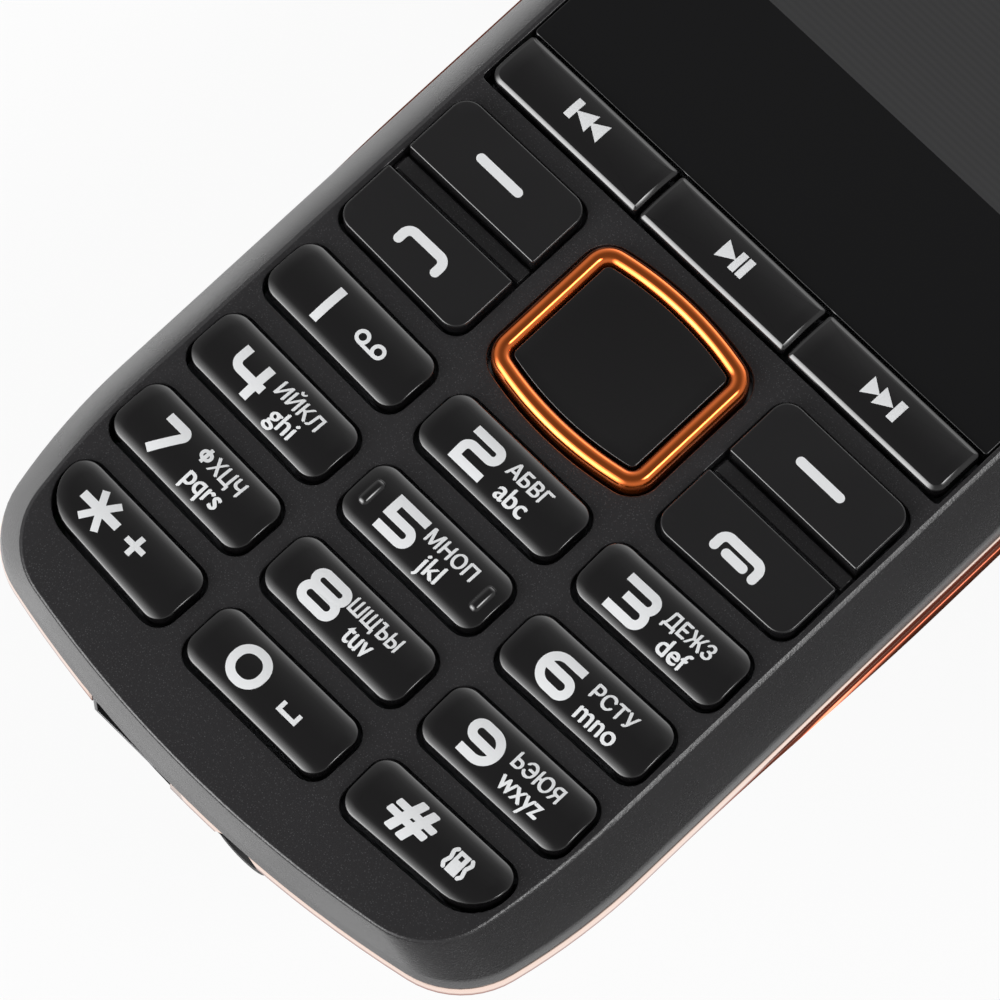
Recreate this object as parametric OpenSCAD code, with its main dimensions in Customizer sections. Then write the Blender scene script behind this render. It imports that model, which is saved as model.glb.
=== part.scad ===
// Bar-shaped feature phone, lying on its back with the keys up.
// The origin is under the middle of the phone, +X is its right side and +Y its display end.

/* [Casing] */
// Overall width, across the trim band
body_w = 48.2; // [47.6:0.1:54]
// Overall length, across the trim band
body_l = 114.2; // [113:0.1:126]
// How far the long edges of the face lie inside the casing's widest line
side_inset = 3; // [2.2:0.1:3.2]
// How far the short edges of the face lie inside the casing's widest line
end_inset = 0.4; // [0.2:0.1:0.8]
// Height of the sloped side, from the trim band up to the face
side_drop = 4; // [3.6:0.1:4.3]
// Thickness of the front wall around the keys
front_wall = 1.3; // [1.1:0.05:1.4]
// Thickness of the front housing's end walls
end_wall = 1.3; // [1:0.1:1.5]
// Radius of the casing's corners at the widest line
corner_r = 4.5; // [3.5:0.1:6]
// Radius of the corners of the face
face_corner_r = 3.5; // [2.5:0.1:5]
// Radius of the shallow arc that both ends follow
end_arc_r = 85; // [75:1:120]
// Length of each long side that bends in towards an end
bend_l = 17; // [14:0.5:20]
// Radius of that bend at the widest line
bend_r = 46; // [42:1:70]
// Radius of that bend at the face
face_bend_r = 67; // [60:1:90]

/* [Trim and rear cover] */
// Height of the trim band
trim_h = 2.5; // [2:0.1:2.7]
// Thickness of the trim band
trim_t = 1.3; // [1.1:0.05:1.5]
// How far the trim band stands out of the casing
trim_proud = 0.15; // [0.05:0.05:0.3]
// Wall of the battery cover
cover_wall = 1; // [0.8:0.05:1.2]
// How far the cover's rounded edge draws in at the back
cover_round = 4; // [3:0.1:5]
// Width of each of the cover's clips
clip_w = 4; // [3:0.5:6]
// Distance between the clips along a long side
clip_pitch = 30; // [24:1:32]

/* [Layers from back to front] */
// Thickness of the battery
battery_t = 4.6; // [4:0.1:5.5]
// Thickness of the rear housing's floor, above the battery
plate_t = 0.6; // [0.5:0.05:0.9]
// Room between that floor and the main board
board_gap = 0.7; // [0.5:0.05:1]
// Thickness of the main board
board_t = 0.8; // [0.6:0.05:1]
// Thickness of the display module
display_t = 2.2; // [2:0.05:2.6]
// Thickness of the foam gasket on the display module
gasket_t = 0.3; // [0.2:0.05:0.5]
// Thickness of the seat under the display window
seat_t = 0.7; // [0.6:0.05:1]
// Thickness of the display window
lens_t = 1.2; // [1:0.05:1.4]

/* [Number keys] */
// Front-to-back size of a number key's opening
key_h = 5.25; // [4.8:0.05:5.6]
// Gap between rows of openings
row_gap = 1.55; // [1.3:0.05:2]
// Gap between columns of openings
col_gap = 1.4; // [1.2:0.05:2]
// Margin between the face's long edge and the outer openings
pad_margin = 0.5; // [0.4:0.05:1]
// Distance from the casing's lower end to the lowest row
pad_bottom = 5.1; // [4.9:0.05:6]
// Radius of the arc that the rows follow, their ends raised
row_arc_r = 500; // [400:10:900]
// Corner radius of the openings
key_r = 1.5; // [1.2:0.05:1.9]
// Corner radius at the outer lower corner of the star and hash keys
star_corner_r = 3.2; // [2.5:0.1:3.6]
// How far the star and hash keys stop short of the column's outer edge
star_step = 0.5; // [0.3:0.05:1]
// Height of a number key's crown above the face
key_rise = 0.95; // [0.7:0.05:1.3]
// How far the crown falls towards the long edges
key_crown = 0.4; // [0.2:0.05:0.6]

/* [Function keys] */
// Gap between the first number row and the call and end keys
call_gap = 1.7; // [1.5:0.05:2.2]
// Length of the call and end keys
call_h = 5.55; // [5:0.05:6.5]
// Width of the sunk strip between the soft keys and the call and end keys
strip_w = 1.27; // [1:0.01:2]
// Depth of that strip
strip_depth = 0.5; // [0.2:0.05:0.7]
// Length of the soft keys
soft_h = 5.75; // [5:0.05:6.5]
// Radius of the rounded corners of these keys
func_r = 1.4; // [1:0.05:1.8]
// Height of these keys above the face
func_rise = 0.85; // [0.6:0.05:1.2]
// Gap between the soft keys and the media keys
media_gap = 1.45; // [1.2:0.05:2]
// Length of the media keys
media_h = 4.6; // [4:0.05:5.5]
// Width of the middle media key
media_mid_w = 13.36; // [12:0.02:15]
// Gap between two media keys
media_seam = 0.3; // [0.2:0.05:0.5]
// Height of the media keys above the face
media_rise = 0.75; // [0.5:0.05:1]
// Radius of the media keys' rounded back
media_crown_r = 9; // [7:0.5:14]

/* [Navigation keys] */
// Width of the ring
nav_w = 13.9; // [13:0.05:14.4]
// Gap between the ring and the keys beside it
nav_gap = 1.65; // [1.4:0.05:2.2]
// Gap between the ring and the keys above and below it
nav_end = 1.46; // [1.3:0.02:2]
// Corner radius of the ring
nav_r = 2.4; // [2:0.1:3]
// How far the ring's upper and lower sides bulge
nav_bulge = 0.5; // [0.3:0.05:0.8]
// Width of the ring's band
ring_t = 1.35; // [1.1:0.05:1.6]
// Height of the ring above the face
ring_rise = 1; // [0.7:0.05:1.3]
// Height of the OK key's rim above the face
ok_rise = 0.7; // [0.5:0.05:1]
// Depth of the hollow in the OK key
ok_dish = 0.15; // [0.1:0.05:0.25]

/* [Key fits] */
// Gap between a key and its opening
key_gap = 0.25; // [0.15:0.05:0.35]
// Travel of a key
travel = 0.3; // [0.2:0.05:0.4]
// Thickness of the lip that keeps a key in
flange_t = 0.5; // [0.4:0.05:0.6]
// How far that lip reaches under the housing
flange_w = 0.3; // [0.2:0.05:0.4]
// Diameter of a key's plunger
post_d = 2.2; // [1.6:0.1:2.6]
// Thickness of the keypad mat
mat_t = 0.6; // [0.4:0.05:0.7]
// Height of a dome
dome_h = 0.3; // [0.2:0.05:0.4]
// Diameter of a dome
dome_d = 3.2; // [2.8:0.1:3.3]

/* [Display] */
// Distance from the window's long edges to the picture area
view_side = 6.45; // [5.5:0.05:7.5]
// Distance from the window's lower edge to the picture area
view_offset = 12.4; // [11.5:0.1:12.8]
// Distance from the picture area to the window's upper edge
view_end = 10.43; // [10:0.01:12]
// Border of the display module around the picture area
display_border = 3; // [2.5:0.1:3.5]
// Border of the display module's lower end, which holds the driver
display_foot = 4.5; // [4:0.1:5.5]
// Distance from the window's upper edge to the casing's upper end
lens_top_margin = 5; // [4.6:0.1:6]
// Width of the earpiece slot
ear_slot_w = 10; // [7:0.5:11]
// Length of the earpiece slot
ear_slot_l = 1.2; // [0.8:0.1:1.6]

/* [Battery] */
// Width of the battery
battery_w = 34; // [32:0.5:34.5]
// Gap between the audio socket and the battery
battery_gap = 2.8; // [2:0.1:4]
// Corner radius of the battery
battery_r = 1.5; // [1:0.1:2.5]
// Width of a SIM socket
sim_w = 15; // [14:0.5:15.5]
// Length of a SIM socket
sim_l = 14; // [12:0.5:14.5]
// Distance from the battery's lower end to the middle of the SIM sockets
sim_offset = 11; // [10:0.5:16]
// Distance from the battery's upper end to the middle of the memory card socket
card_offset = 11; // [10:0.5:16]

/* [Sockets in the lower end] */
// Place of the charging socket across the phone
usb_x = -5.4; // [-7:0.1:-5.2]
// Width of the charging socket
usb_w = 7.5; // [7.3:0.1:7.8]
// Height of the charging socket
usb_h = 2.6; // [2.5:0.05:2.8]
// Length of the charging socket
usb_l = 5.4; // [5:0.1:6]
// Wall of the charging socket's shell
usb_wall = 0.3; // [0.25:0.05:0.35]
// Place of the audio socket across the phone
jack_x = 4.3; // [4.2:0.1:6]
// Radius of the audio socket's bore
jack_r = 1.8; // [1.75:0.01:1.9]
// Width of the audio socket
jack_w = 6; // [5.5:0.1:6.4]
// Height of the audio socket
jack_h = 4.6; // [4.4:0.1:4.8]
// Length of the audio socket
jack_l = 12; // [10:0.1:12.2]
// Place of the microphone port across the phone
mic_x = 10.6; // [9:0.1:11.5]

/* [Rear parts] */
// Width of the loudspeaker
speaker_w = 16; // [12:0.5:18]
// Length of the loudspeaker
speaker_l = 11; // [9:0.5:12]
// Height of the loudspeaker
speaker_t = 3.2; // [2.5:0.1:3.6]
// Side of the camera module
camera_w = 8; // [6:0.5:9]
// Gap between the loudspeaker and the camera module
camera_gap = 3; // [2:0.1:5]
// Place of the camera across the phone
camera_x = -10; // [-11:0.5:-6]
// Radius of the camera window
camera_window_r = 3.6; // [3:0.1:4]
// Radius of the vibration motor
motor_r = 2; // [1.6:0.1:2.1]
// Length of the vibration motor
motor_l = 8; // [6:0.5:9]
// Length of the off-centre weight
weight_l = 3.5; // [2.5:0.5:4]
// Distance from the casing's long side to that weight
motor_side = 8.15; // [7:0.05:9]
// Distance from the casing's long sides to the antenna
antenna_side = 6.95; // [6:0.05:9]
// Length of the antenna
antenna_l = 7; // [5:0.5:8]
// Gap between the camera module and the antenna
antenna_gap = 4.95; // [2:0.05:6]
// Place of the upper case screws across the phone
screw_x = 12; // [10:0.5:13]
// Distance of the upper case screws from the casing's upper end
screw_end = 5.35; // [5.2:0.05:6]
// Distance of the middle case screws from the casing's long sides
screw_side = 4.35; // [4.2:0.05:4.6]
// Radius of the screws' shank
screw_r = 0.6; // [0.5:0.05:0.65]
// Radius of the screws' head
screw_head_r = 1.1; // [1:0.05:1.15]

/* [Hidden] */
$fn = 48;

// Clearances between fixed pieces and around moving ones
fit = 0.1;
slack = 0.3;
hairline = 0.05;
overlap = 0.2;

// How far a cut runs past what it cuts through
past = 1;

// Casing half-sizes at its widest line, without the trim
half_w = body_w / 2 - trim_proud;
half_l = body_l / 2 - trim_proud;
face_w = half_w - side_inset;
face_l = half_l - end_inset;
widest = [bend_r, corner_r, end_arc_r];
flat = [face_bend_r, face_corner_r, end_arc_r];

// Heights of the layers
battery_z = cover_wall + fit;
plate_z = battery_z + battery_t + 2 * fit;
board_z = plate_z + plate_t + board_gap;
board_top = board_z + board_t;
display_top = board_top + display_t;
seat_z = display_top + gasket_t;
lens_z = seat_z + seat_t;
face_z = lens_z + lens_t;
inner_z = face_z - front_wall;
trim_top = face_z - side_drop;
trim_z = trim_top - trim_h;
cover_h = trim_z - hairline;

// Heights of the key layers
flange_z = inner_z - fit - flange_t;
film_t = 0.1;
film_top = board_top + film_t;
dome_top = film_top + dome_h;
post_z = dome_top + travel + hairline;
mat_top = flange_z - travel - fit;
ring_z = inner_z - slack - flange_t;
carrier_t = 0.3;
carrier_z = ring_z - slack - carrier_t;

// Key layout, from the lower end up
pad_half = face_w - pad_margin;
key_w = (2 * pad_half - 2 * col_gap) / 3;
col_pitch = key_w + col_gap;
row_pitch = key_h + row_gap;
last_row = 3;
pad_y = -half_l + pad_bottom;
pad_top = pad_y + last_row * row_pitch + key_h;
call_y = pad_top + call_gap;
call_top = call_y + call_h;
soft_y = call_top + strip_w;
soft_top = soft_y + soft_h;
media_y = soft_top + media_gap;
lens_y = media_y + media_h;
lens_top = half_l - lens_top_margin;
nav_y = (pad_top + media_y) / 2;
nav_l = media_y - pad_top - 2 * nav_end;
func_w = pad_half - nav_w / 2 - nav_gap;
func_x = pad_half - func_w / 2;
media_half = media_mid_w / 2;
media_x = (pad_half + media_half) / 2;
sharp_r = 0.3;

// Display places
view_w = 2 * (pad_half - view_side);
view_l = lens_top - view_end - lens_y - view_offset;
view_y = lens_y + view_offset + view_l / 2;
display_w = view_w + 2 * display_border;
display_y = view_y - view_l / 2 - display_foot;
display_l = view_l + display_foot + display_border;
view_margin = 1;
ear_y = lens_top - ear_slot_l - 1;
ear_w = ear_slot_w + 1;
ear_l = 6;
ear_shift = 0.4;
mesh_t = 0.2;

// Hollow and window seat of the front housing, reaching past the face's edge
hollow_w = face_w + 0.4;
seat_w = face_w + 0.8;

// Rear layout, with the sockets' mouths just inside the lower end
mouth_y = 0.5 - half_l;
rim_out = trim_t + fit;
rim_t = 1.1;
rim_in = rim_out + rim_t;
board_in = rim_in + 2 * fit;
ledge_in = rim_in + 1;
bay_wall = 1;
bay_half = battery_w / 2 + slack;
bay_z = cover_wall + slack;
contact_w = 10;
contact_l = 2.3;
contact_t = 3.6;
antenna_w = 2 * (half_w - antenna_side);
antenna_t = 1.5;
antenna_y = half_l - screw_end - screw_head_r - slack - antenna_l / 2;
camera_t = plate_z - cover_wall - 2 * slack;
camera_y = antenna_y - antenna_l / 2 - antenna_gap - camera_w / 2;
speaker_y = camera_y - camera_w / 2 - camera_gap - speaker_l / 2;
battery_top = speaker_y - speaker_l / 2 - 2 * slack - 2 * bay_wall - contact_l;
battery_y = mouth_y + jack_l + battery_gap;
socket_t = plate_t + board_gap + fit;
sim_x = sim_w / 2 + 1.1;
sim_y = battery_y + sim_offset;
card_y = battery_top - card_offset;
weight_x = half_w - motor_side - weight_l;
motor_x = weight_x - slack - motor_l;
motor_z = plate_z - motor_r - hairline;
shaft_r = 0.4;

// Sockets
usb_z = board_z - usb_h;
jack_z = board_top - fit - jack_h / 2;
port_gap = 0.35;
usb_back = 0.6;

// Screws: two just above the battery bay and two at the upper end
boss_r = screw_r + 0.6;
spacer_r = screw_r + 0.8;
screw_head_h = 0.8;
screw_depth = 1.9;
screw_mid_x = half_w - screw_side;
screw_mid_y = battery_top + bay_wall + screw_head_r + 2 * slack;

// Clips of the cover, along both long sides
clip_y = [-clip_pitch, 0, clip_pitch];
clip_t = 0.8;
clip_root = 0.6;
clip_top = trim_top - 0.9;
clip_in = rim_out + 0.15;
clip_x = half_w - clip_in - clip_t / 2;

// Height at which the cover's wall steps outwards
cover_step = 2.6;

// Points along an arc, without its first one
function mix(a, b, t) = a + (b - a) * t;
function arc(centre, r, from, to, steps) = [for (i = [1:steps])
    centre + r * [cos(mix(from, to, i / steps)), sin(mix(from, to, i / steps))]];

// Centre of the corner arc that runs smoothly into the bent side and the curved end
function corner_centre(side, side_r, end, end_r, r) =
    let (d = norm(end - side), p = side_r - r, q = end_r - r)
    let (along = (d * d + p * p - q * q) / (2 * d), u = (end - side) / d)
    side + u * along + [u.y, -u.x] * sqrt(p * p - along * along);

// Lower right quarter of a casing outline, with arcs = [side bend, corner, end]
function quarter(w, l, arcs) =
    let (side = [w - arcs[0], bend_l - l], end = [0, arcs[2] - l])
    let (c = corner_centre(side, arcs[0], end, arcs[2], arcs[1]))
    let (a = atan2(c.y - side.y, c.x - side.x), b = atan2(c.y - end.y, c.x - end.x))
    concat([[w, bend_l - l]], arc(side, arcs[0], 0, a, 3),
        arc(c, arcs[1], a, b, 6), arc(end, arcs[2], b, -90, 4));

// Whole casing outline with half-width w and half-length l
function outline(w, l, arcs) =
    let (q = quarter(w, l, arcs), n = len(q))
    concat(q, [for (i = [n - 2:-1:0]) [-q[i].x, q[i].y]], -q, [for (i = [n - 2:-1:0]) [q[i].x, -q[i].y]]);

// The widest outline, drawn in by a distance
function casing(inset) = outline(half_w - inset, half_l - inset, widest);

// Outline between the widest line (0) and the face (1)
function blend_outline(t) = outline(mix(half_w, face_w, t), mix(half_l, face_l, t), mix(widest, flat, t));

// How far the battery cover has drawn in at a height
function cover_inset(z) = cover_round * (1 - sqrt(1 - pow(1 - z / cover_h, 2)));

// Corners of a polygon, for rounding and growing it
function unit(v) = v / norm(v);
function before(p, i) = unit(p[(i + len(p) - 1) % len(p)] - p[i]);
function after(p, i) = unit(p[(i + 1) % len(p)] - p[i]);
function half_angle(p, i) = acos(before(p, i) * after(p, i)) / 2;
function inward(p, i) = unit(before(p, i) + after(p, i)) / sin(half_angle(p, i));
function grow(p, d) = [for (i = [0:len(p) - 1]) p[i] - inward(p, i) * d];
function more(r, d) = [for (x = r) x + d];
function box_points(x0, y0, x1, y1) = [[x0, y0], [x1, y0], [x1, y1], [x0, y1]];
function mirrored(p) = [for (q = p) [-q.x, q.y]];
function four(r) = [r, r, r, r];

// Key places: column -1, 0 or 1, and row 0 at the top
function col_angle(col) = col * asin(col_pitch / row_arc_r);
function key_place(col, row) = [col * col_pitch,
    pad_top - key_h / 2 - row * row_pitch + row_arc_r * (1 - cos(col_angle(col)))];

// Outlines of the openings, with the radius of each corner
key_points = box_points(-key_w / 2, -key_h / 2, key_w / 2, key_h / 2);
key_radii = four(key_r);
star_points = box_points(star_step - key_w / 2, -key_h / 2, key_w / 2, key_h / 2);
star_radii = [star_corner_r, key_r, key_r, key_r];
soft_points = box_points(-pad_half, soft_y, func_w - pad_half, soft_top);
soft_radii = [sharp_r, sharp_r, func_r, func_r];
call_slant = func_w / 2 * tan(col_angle(1));
call_points = [[-pad_half, call_y + call_slant], [func_w - pad_half, call_y - call_slant],
    [func_w - pad_half, call_top], [-pad_half, call_top]];
call_radii = [func_r, func_r, sharp_r, sharp_r];

// How far the layers under the keys stay inside the casing's widest line
field_in = side_inset + 0.6;

// Places of the plungers and of the domes under them
number_places = [for (row = [0:last_row], col = [-1:1]) key_place(col, row)];
func_places = [for (s = [-1, 1], y = [(call_y + call_top) / 2, (soft_y + soft_top) / 2]) [s * func_x, y]];
media_places = [for (s = [-1:1]) [s * media_x, media_y + media_h / 2]];
nav_reach = [nav_w / 2 - ring_t / 2, nav_l / 2 - ring_t / 2];
nav_places = [for (a = [0:90:270]) [nav_reach.x * cos(a), nav_y + nav_reach.y * sin(a)]];
right_screws = [[screw_mid_x, screw_mid_y], [screw_x, half_l - screw_end]];
screw_places = concat(right_screws, mirrored(right_screws));

// A polygon with rounded corners: its body between the tangent points, and a slice of a circle at each corner
module rounded(p, r) {
    function reach(i) = r[i] / tan(half_angle(p, i));
    polygon([for (i = [0:len(p) - 1], e = [before(p, i), after(p, i)]) p[i] + e * reach(i)]);
    for (i = [0:len(p) - 1]) {
        centre = p[i] + inward(p, i) * r[i];
        intersection() {
            translate(centre) circle(r[i]);
            polygon([p[i] + before(p, i) * reach(i), p[i], p[i] + after(p, i) * reach(i), centre]);
        }
    }
}

// A straight prism between two heights
module prism(z0, z1) {
    translate([0, 0, z0]) linear_extrude(z1 - z0) children();
}

// A block given by its middle in X and Y and its two heights
module block(x, y, w, l, z0, z1) {
    translate([x - w / 2, y - l / 2, z0]) cube([w, l, z1 - z0]);
}

// One stage of a tapering shell, from a lower outline up to a higher one
module stage(lower, z0, upper, z1) {
    sliver = 0.01;
    hull() {
        prism(z0, z0 + sliver) polygon(lower);
        prism(z1 - sliver, z1) polygon(upper);
    }
}

// A round bar along X
module bar_x(x0, x1, y, z, r) {
    translate([x0, y, z]) rotate([0, 90, 0]) cylinder(r = r, h = x1 - x0);
}

// A round bar along Y
module bar_y(x, y0, y1, z, r) {
    translate([x, y0, z]) rotate([-90, 0, 0]) cylinder(r = r, h = y1 - y0);
}

// Outline of the navigation ring: a rounded square whose two long sides bulge
module nav_shape(d) {
    reach = nav_w / 2 - nav_r + nav_bulge;
    bulge_r = (reach * reach + nav_bulge * nav_bulge) / (2 * nav_bulge);
    w = nav_w / 2 + d;
    l = nav_l / 2 + d;
    translate([0, nav_y]) intersection() {
        rounded(box_points(-w, -l, w, l), four(nav_r + d));
        translate([0, l - bulge_r]) circle(bulge_r, $fn = 96);
        translate([0, bulge_r - l]) circle(bulge_r, $fn = 96);
    }
}

// Outline of the display window, which follows the face and stops at the media keys
module lens_shape(d) {
    intersection() {
        polygon(outline(pad_half + d, face_l, flat));
        rounded(box_points(-half_w, lens_y - d, half_w, lens_top + d), four(sharp_r));
    }
}

// Openings for the charging and audio sockets, cut from the outside in
module port_cuts(d) {
    usb_y = [-half_l - past, mouth_y + usb_l + past];
    jack_reach = 3;
    block(usb_x, (usb_y[0] + usb_y[1]) / 2, usb_w + 2 * d, usb_y[1] - usb_y[0], usb_z - d, usb_z + usb_h + d);
    bar_y(jack_x, -half_l - past, -half_l + jack_reach, jack_z, jack_h / 2 + d);
}

// Room for the audio socket's block, between two heights
module jack_room(z0, z1) {
    block(jack_x, mouth_y + jack_l / 2, jack_w + 2 * fit, jack_l + 2 * fit, z0, z1);
}

module front_housing() {
    slope = 1.6;
    stages = [0, 0.28, 0.52, 0.74, 0.9, 1];
    seat_from = lens_y + fit;
    notch_w = 1.9;
    notch_h = 0.5;
    color("#2b2b2d") difference() {
        union() {
            difference() {
                for (i = [0:len(stages) - 2])
                    stage(blend_outline(pow(stages[i], slope)), trim_top + stages[i] * side_drop,
                        blend_outline(pow(stages[i + 1], slope)), trim_top + stages[i + 1] * side_drop);
                prism(trim_top - past, inner_z) polygon(outline(hollow_w, face_l - end_wall, flat));
            }
            prism(seat_z, lens_z) intersection() {
                polygon(outline(seat_w, face_l - end_wall / 2, flat));
                translate([-half_w, seat_from]) square([2 * half_w, half_l - seat_from]);
            }
            for (p = screw_places)
                translate([p.x, p.y, board_top]) cylinder(r = boss_r, h = seat_z + overlap - board_top);
        }
        for (row = [0:last_row], col = [-1:1])
            translate(key_place(col, row)) rotate(col_angle(col)) prism(seat_z, face_z + past) {
                if (row < last_row || col == 0) rounded(key_points, key_radii);
                else rounded(col < 0 ? star_points : mirrored(star_points), star_radii);
            }
        for (p = [soft_points, mirrored(soft_points)]) prism(seat_z, face_z + past) rounded(p, soft_radii);
        for (p = [call_points, mirrored(call_points)]) prism(seat_z, face_z + past) rounded(p, call_radii);
        for (s = [-1, 1])
            block(s * func_x, call_top + strip_w / 2, func_w - 2 * fit, strip_w + 2 * key_gap,
                face_z - strip_depth, face_z + past);
        prism(seat_z - past, face_z + past) nav_shape(key_gap);
        block(0, media_y + media_h / 2, 2 * pad_half, media_h + hairline, inner_z - past, face_z + past);
        prism(lens_z, face_z + past) lens_shape(fit);
        block(0, view_y, view_w + view_margin, view_l + view_margin, seat_z - past, lens_z + past);
        block(0, ear_y, ear_slot_w, 2 * ear_slot_l, seat_z - past, lens_z + past);
        block(mic_x, -half_l, notch_w, 2 * (end_wall + past), trim_top - past, trim_top + notch_h);
        for (p = screw_places)
            translate([p.x, p.y, board_top - past]) cylinder(r = screw_r + hairline, h = screw_depth + past);
    }
}

module display_window() {
    slot = [ear_slot_w, ear_slot_l] / 2;
    slot_r = slot.y - hairline;
    color("#0b0b0c") difference() {
        prism(lens_z, face_z) lens_shape(0);
        prism(lens_z - past, face_z + past)
            rounded(box_points(-slot.x, ear_y - slot.y, slot.x, ear_y + slot.y), four(slot_r));
    }
}

module trim_band() {
    color("#d9722b") difference() {
        prism(trim_z, trim_top) polygon(casing(-trim_proud));
        prism(trim_z - past, trim_top + past) polygon(casing(trim_t));
        port_cuts(port_gap);
    }
}

module rear_housing() {
    wall_y = [battery_y - slack - bay_wall, battery_top + slack];
    color("#1c1c1e") difference() {
        union() {
            prism(plate_z, plate_z + plate_t) polygon(casing(rim_out));
            difference() {
                prism(plate_z, trim_top - hairline) polygon(casing(rim_out));
                prism(plate_z, board_z) polygon(casing(ledge_in));
                prism(board_z, trim_top) polygon(casing(rim_in));
            }
            for (s = [-1, 1])
                block(s * (bay_half + bay_wall / 2), (wall_y[0] + wall_y[1] + bay_wall) / 2, bay_wall,
                    wall_y[1] + bay_wall - wall_y[0], bay_z, plate_z + hairline);
            for (y = wall_y)
                block(0, y + bay_wall / 2, 2 * (bay_half + bay_wall), bay_wall, bay_z, plate_z + hairline);
            for (p = screw_places)
                translate([p.x, p.y, plate_z]) cylinder(r = spacer_r, h = board_z - plate_z);
        }
        for (p = screw_places)
            translate([p.x, p.y, plate_z - past])
                cylinder(r = screw_r + fit, h = board_z - plate_z + 2 * past);
        port_cuts(fit);
        jack_room(plate_z - past, trim_top + past);
        block(0, battery_top + slack + contact_l / 2, contact_w + 2 * fit, contact_l + 2 * fit,
            board_z - contact_t - fit, board_z + past);
        for (s = [-1, 1])
            block(s * sim_x, sim_y, sim_w + 2 * fit, sim_l + 2 * fit, plate_z - past, board_z + past);
        block(0, card_y, sim_l + 2 * fit, sim_w + 2 * fit, plate_z - past, board_z + past);
        for (s = [-1, 1], y = clip_y)
            block(s * clip_x, y, clip_t + 4 * fit, clip_w + 2 * slack, plate_z - past, clip_top + slack);
    }
}

module battery_cover() {
    turns = [90, 75, 60, 42, 22, 0];
    grille_pitch = 2;
    grille_l = 0.8;
    color("#1f1f21") difference() {
        union() {
            difference() {
                for (i = [0:len(turns) - 2])
                    stage(casing(cover_round * (1 - cos(turns[i]))), cover_h * (1 - sin(turns[i])),
                        casing(cover_round * (1 - cos(turns[i + 1]))), cover_h * (1 - sin(turns[i + 1])));
                prism(cover_wall, cover_step + past) polygon(casing(cover_inset(cover_wall) + cover_wall));
                prism(cover_step, cover_h + past) polygon(casing(cover_inset(cover_step) + cover_wall));
            }
            for (s = [-1, 1], y = clip_y) {
                block(s * clip_x, y, clip_t, clip_w, cover_step + clip_root, clip_top);
                block(s * (clip_x + clip_root / 2), y, clip_t + clip_root, clip_w,
                    cover_step + clip_root, cover_h - fit);
            }
        }
        port_cuts(port_gap);
        for (i = [-1:1])
            block(0, speaker_y + i * grille_pitch, speaker_w / 2, grille_l, -past, cover_wall + past);
        translate([camera_x, camera_y, -past])
            cylinder(r = camera_window_r + hairline, h = cover_wall + 2 * past);
    }
}

module battery() {
    corners = box_points(-battery_w / 2, battery_y, battery_w / 2, battery_top);
    color("#3c4148")
        prism(battery_z, battery_z + battery_t) rounded(corners, four(battery_r));
}

// Cap with a rounded back, lip and plunger of a number key, at its own middle
module number_key(p, r) {
    half = key_h / 2 - key_gap;
    crown_r = (half * half + key_crown * key_crown) / (2 * key_crown);
    color("#101012") {
        intersection() {
            prism(flange_z, face_z + key_rise) rounded(grow(p, -key_gap), more(r, -key_gap));
            bar_x(-key_w, key_w, 0, face_z + key_rise - crown_r, crown_r);
        }
        prism(flange_z, flange_z + flange_t) rounded(grow(p, flange_w), more(r, flange_w));
        translate([0, 0, post_z]) cylinder(d = post_d, h = flange_z + overlap - post_z);
    }
}

module plain_key(col, row) {
    translate(key_place(col, row)) rotate(col_angle(col)) number_key(key_points, key_radii);
}

module key_star() {
    translate(key_place(-1, last_row)) rotate(col_angle(-1)) number_key(star_points, star_radii);
}

module key_hash() {
    translate(key_place(1, last_row)) rotate(col_angle(1)) number_key(mirrored(star_points), star_radii);
}

// Flat cap, lip and plunger of a soft, call or end key
module function_key(p, r, place) {
    color("#161618") {
        prism(flange_z, face_z + func_rise) rounded(grow(p, -key_gap), more(r, -key_gap / 2));
        prism(flange_z, flange_z + flange_t) rounded(grow(p, flange_w), more(r, flange_w));
        translate([place.x, place.y, post_z]) cylinder(d = post_d, h = flange_z + overlap - post_z);
    }
}

module call_key() { function_key(call_points, call_radii, func_places[0]); }
module softkey_left() { function_key(soft_points, soft_radii, func_places[1]); }
module end_key() { function_key(mirrored(call_points), call_radii, func_places[2]); }
module softkey_right() { function_key(mirrored(soft_points), soft_radii, func_places[3]); }

// Media key between two places across the phone; a lip reaches under the housing but not under its neighbours
module media_key(x0, x1, place) {
    outer = [x0 <= -pad_half ? 1 : 0, x1 >= pad_half ? 1 : 0];
    cap_x0 = x0 + (outer[0] > 0 ? key_gap : media_seam / 2);
    cap_x1 = x1 - (outer[1] > 0 ? key_gap : media_seam / 2);
    lip_x0 = cap_x0 - outer[0] * (key_gap + flange_w);
    lip_x1 = cap_x1 + outer[1] * (key_gap + flange_w);
    crown_y = media_y + 0.4 * media_h;
    color("#0f0f11") {
        intersection() {
            prism(flange_z, face_z + media_rise)
                rounded(box_points(cap_x0, media_y + key_gap, cap_x1, lens_y - key_gap),
                    [sharp_r * (1 + 2 * outer[0]), sharp_r * (1 + 2 * outer[1]), sharp_r, sharp_r]);
            bar_x(x0, x1, crown_y, face_z + media_rise - media_crown_r, media_crown_r);
        }
        prism(flange_z, flange_z + flange_t)
            polygon(box_points(lip_x0, media_y - flange_w, lip_x1, lens_y - key_gap));
        translate([place.x, place.y, post_z]) cylinder(d = post_d, h = flange_z + overlap - post_z);
    }
}

module media_key_previous() { media_key(-pad_half, -media_half, media_places[0]); }
module media_key_play() { media_key(-media_half, media_half, media_places[1]); }
module media_key_next() { media_key(media_half, pad_half, media_places[2]); }

module nav_ring() {
    color("#e07a25") difference() {
        union() {
            prism(ring_z, face_z + ring_rise) nav_shape(0);
            prism(ring_z, ring_z + flange_t) nav_shape(key_gap + flange_w);
        }
        prism(ring_z - past, face_z + ring_rise + past) nav_shape(-ring_t);
    }
}

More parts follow.
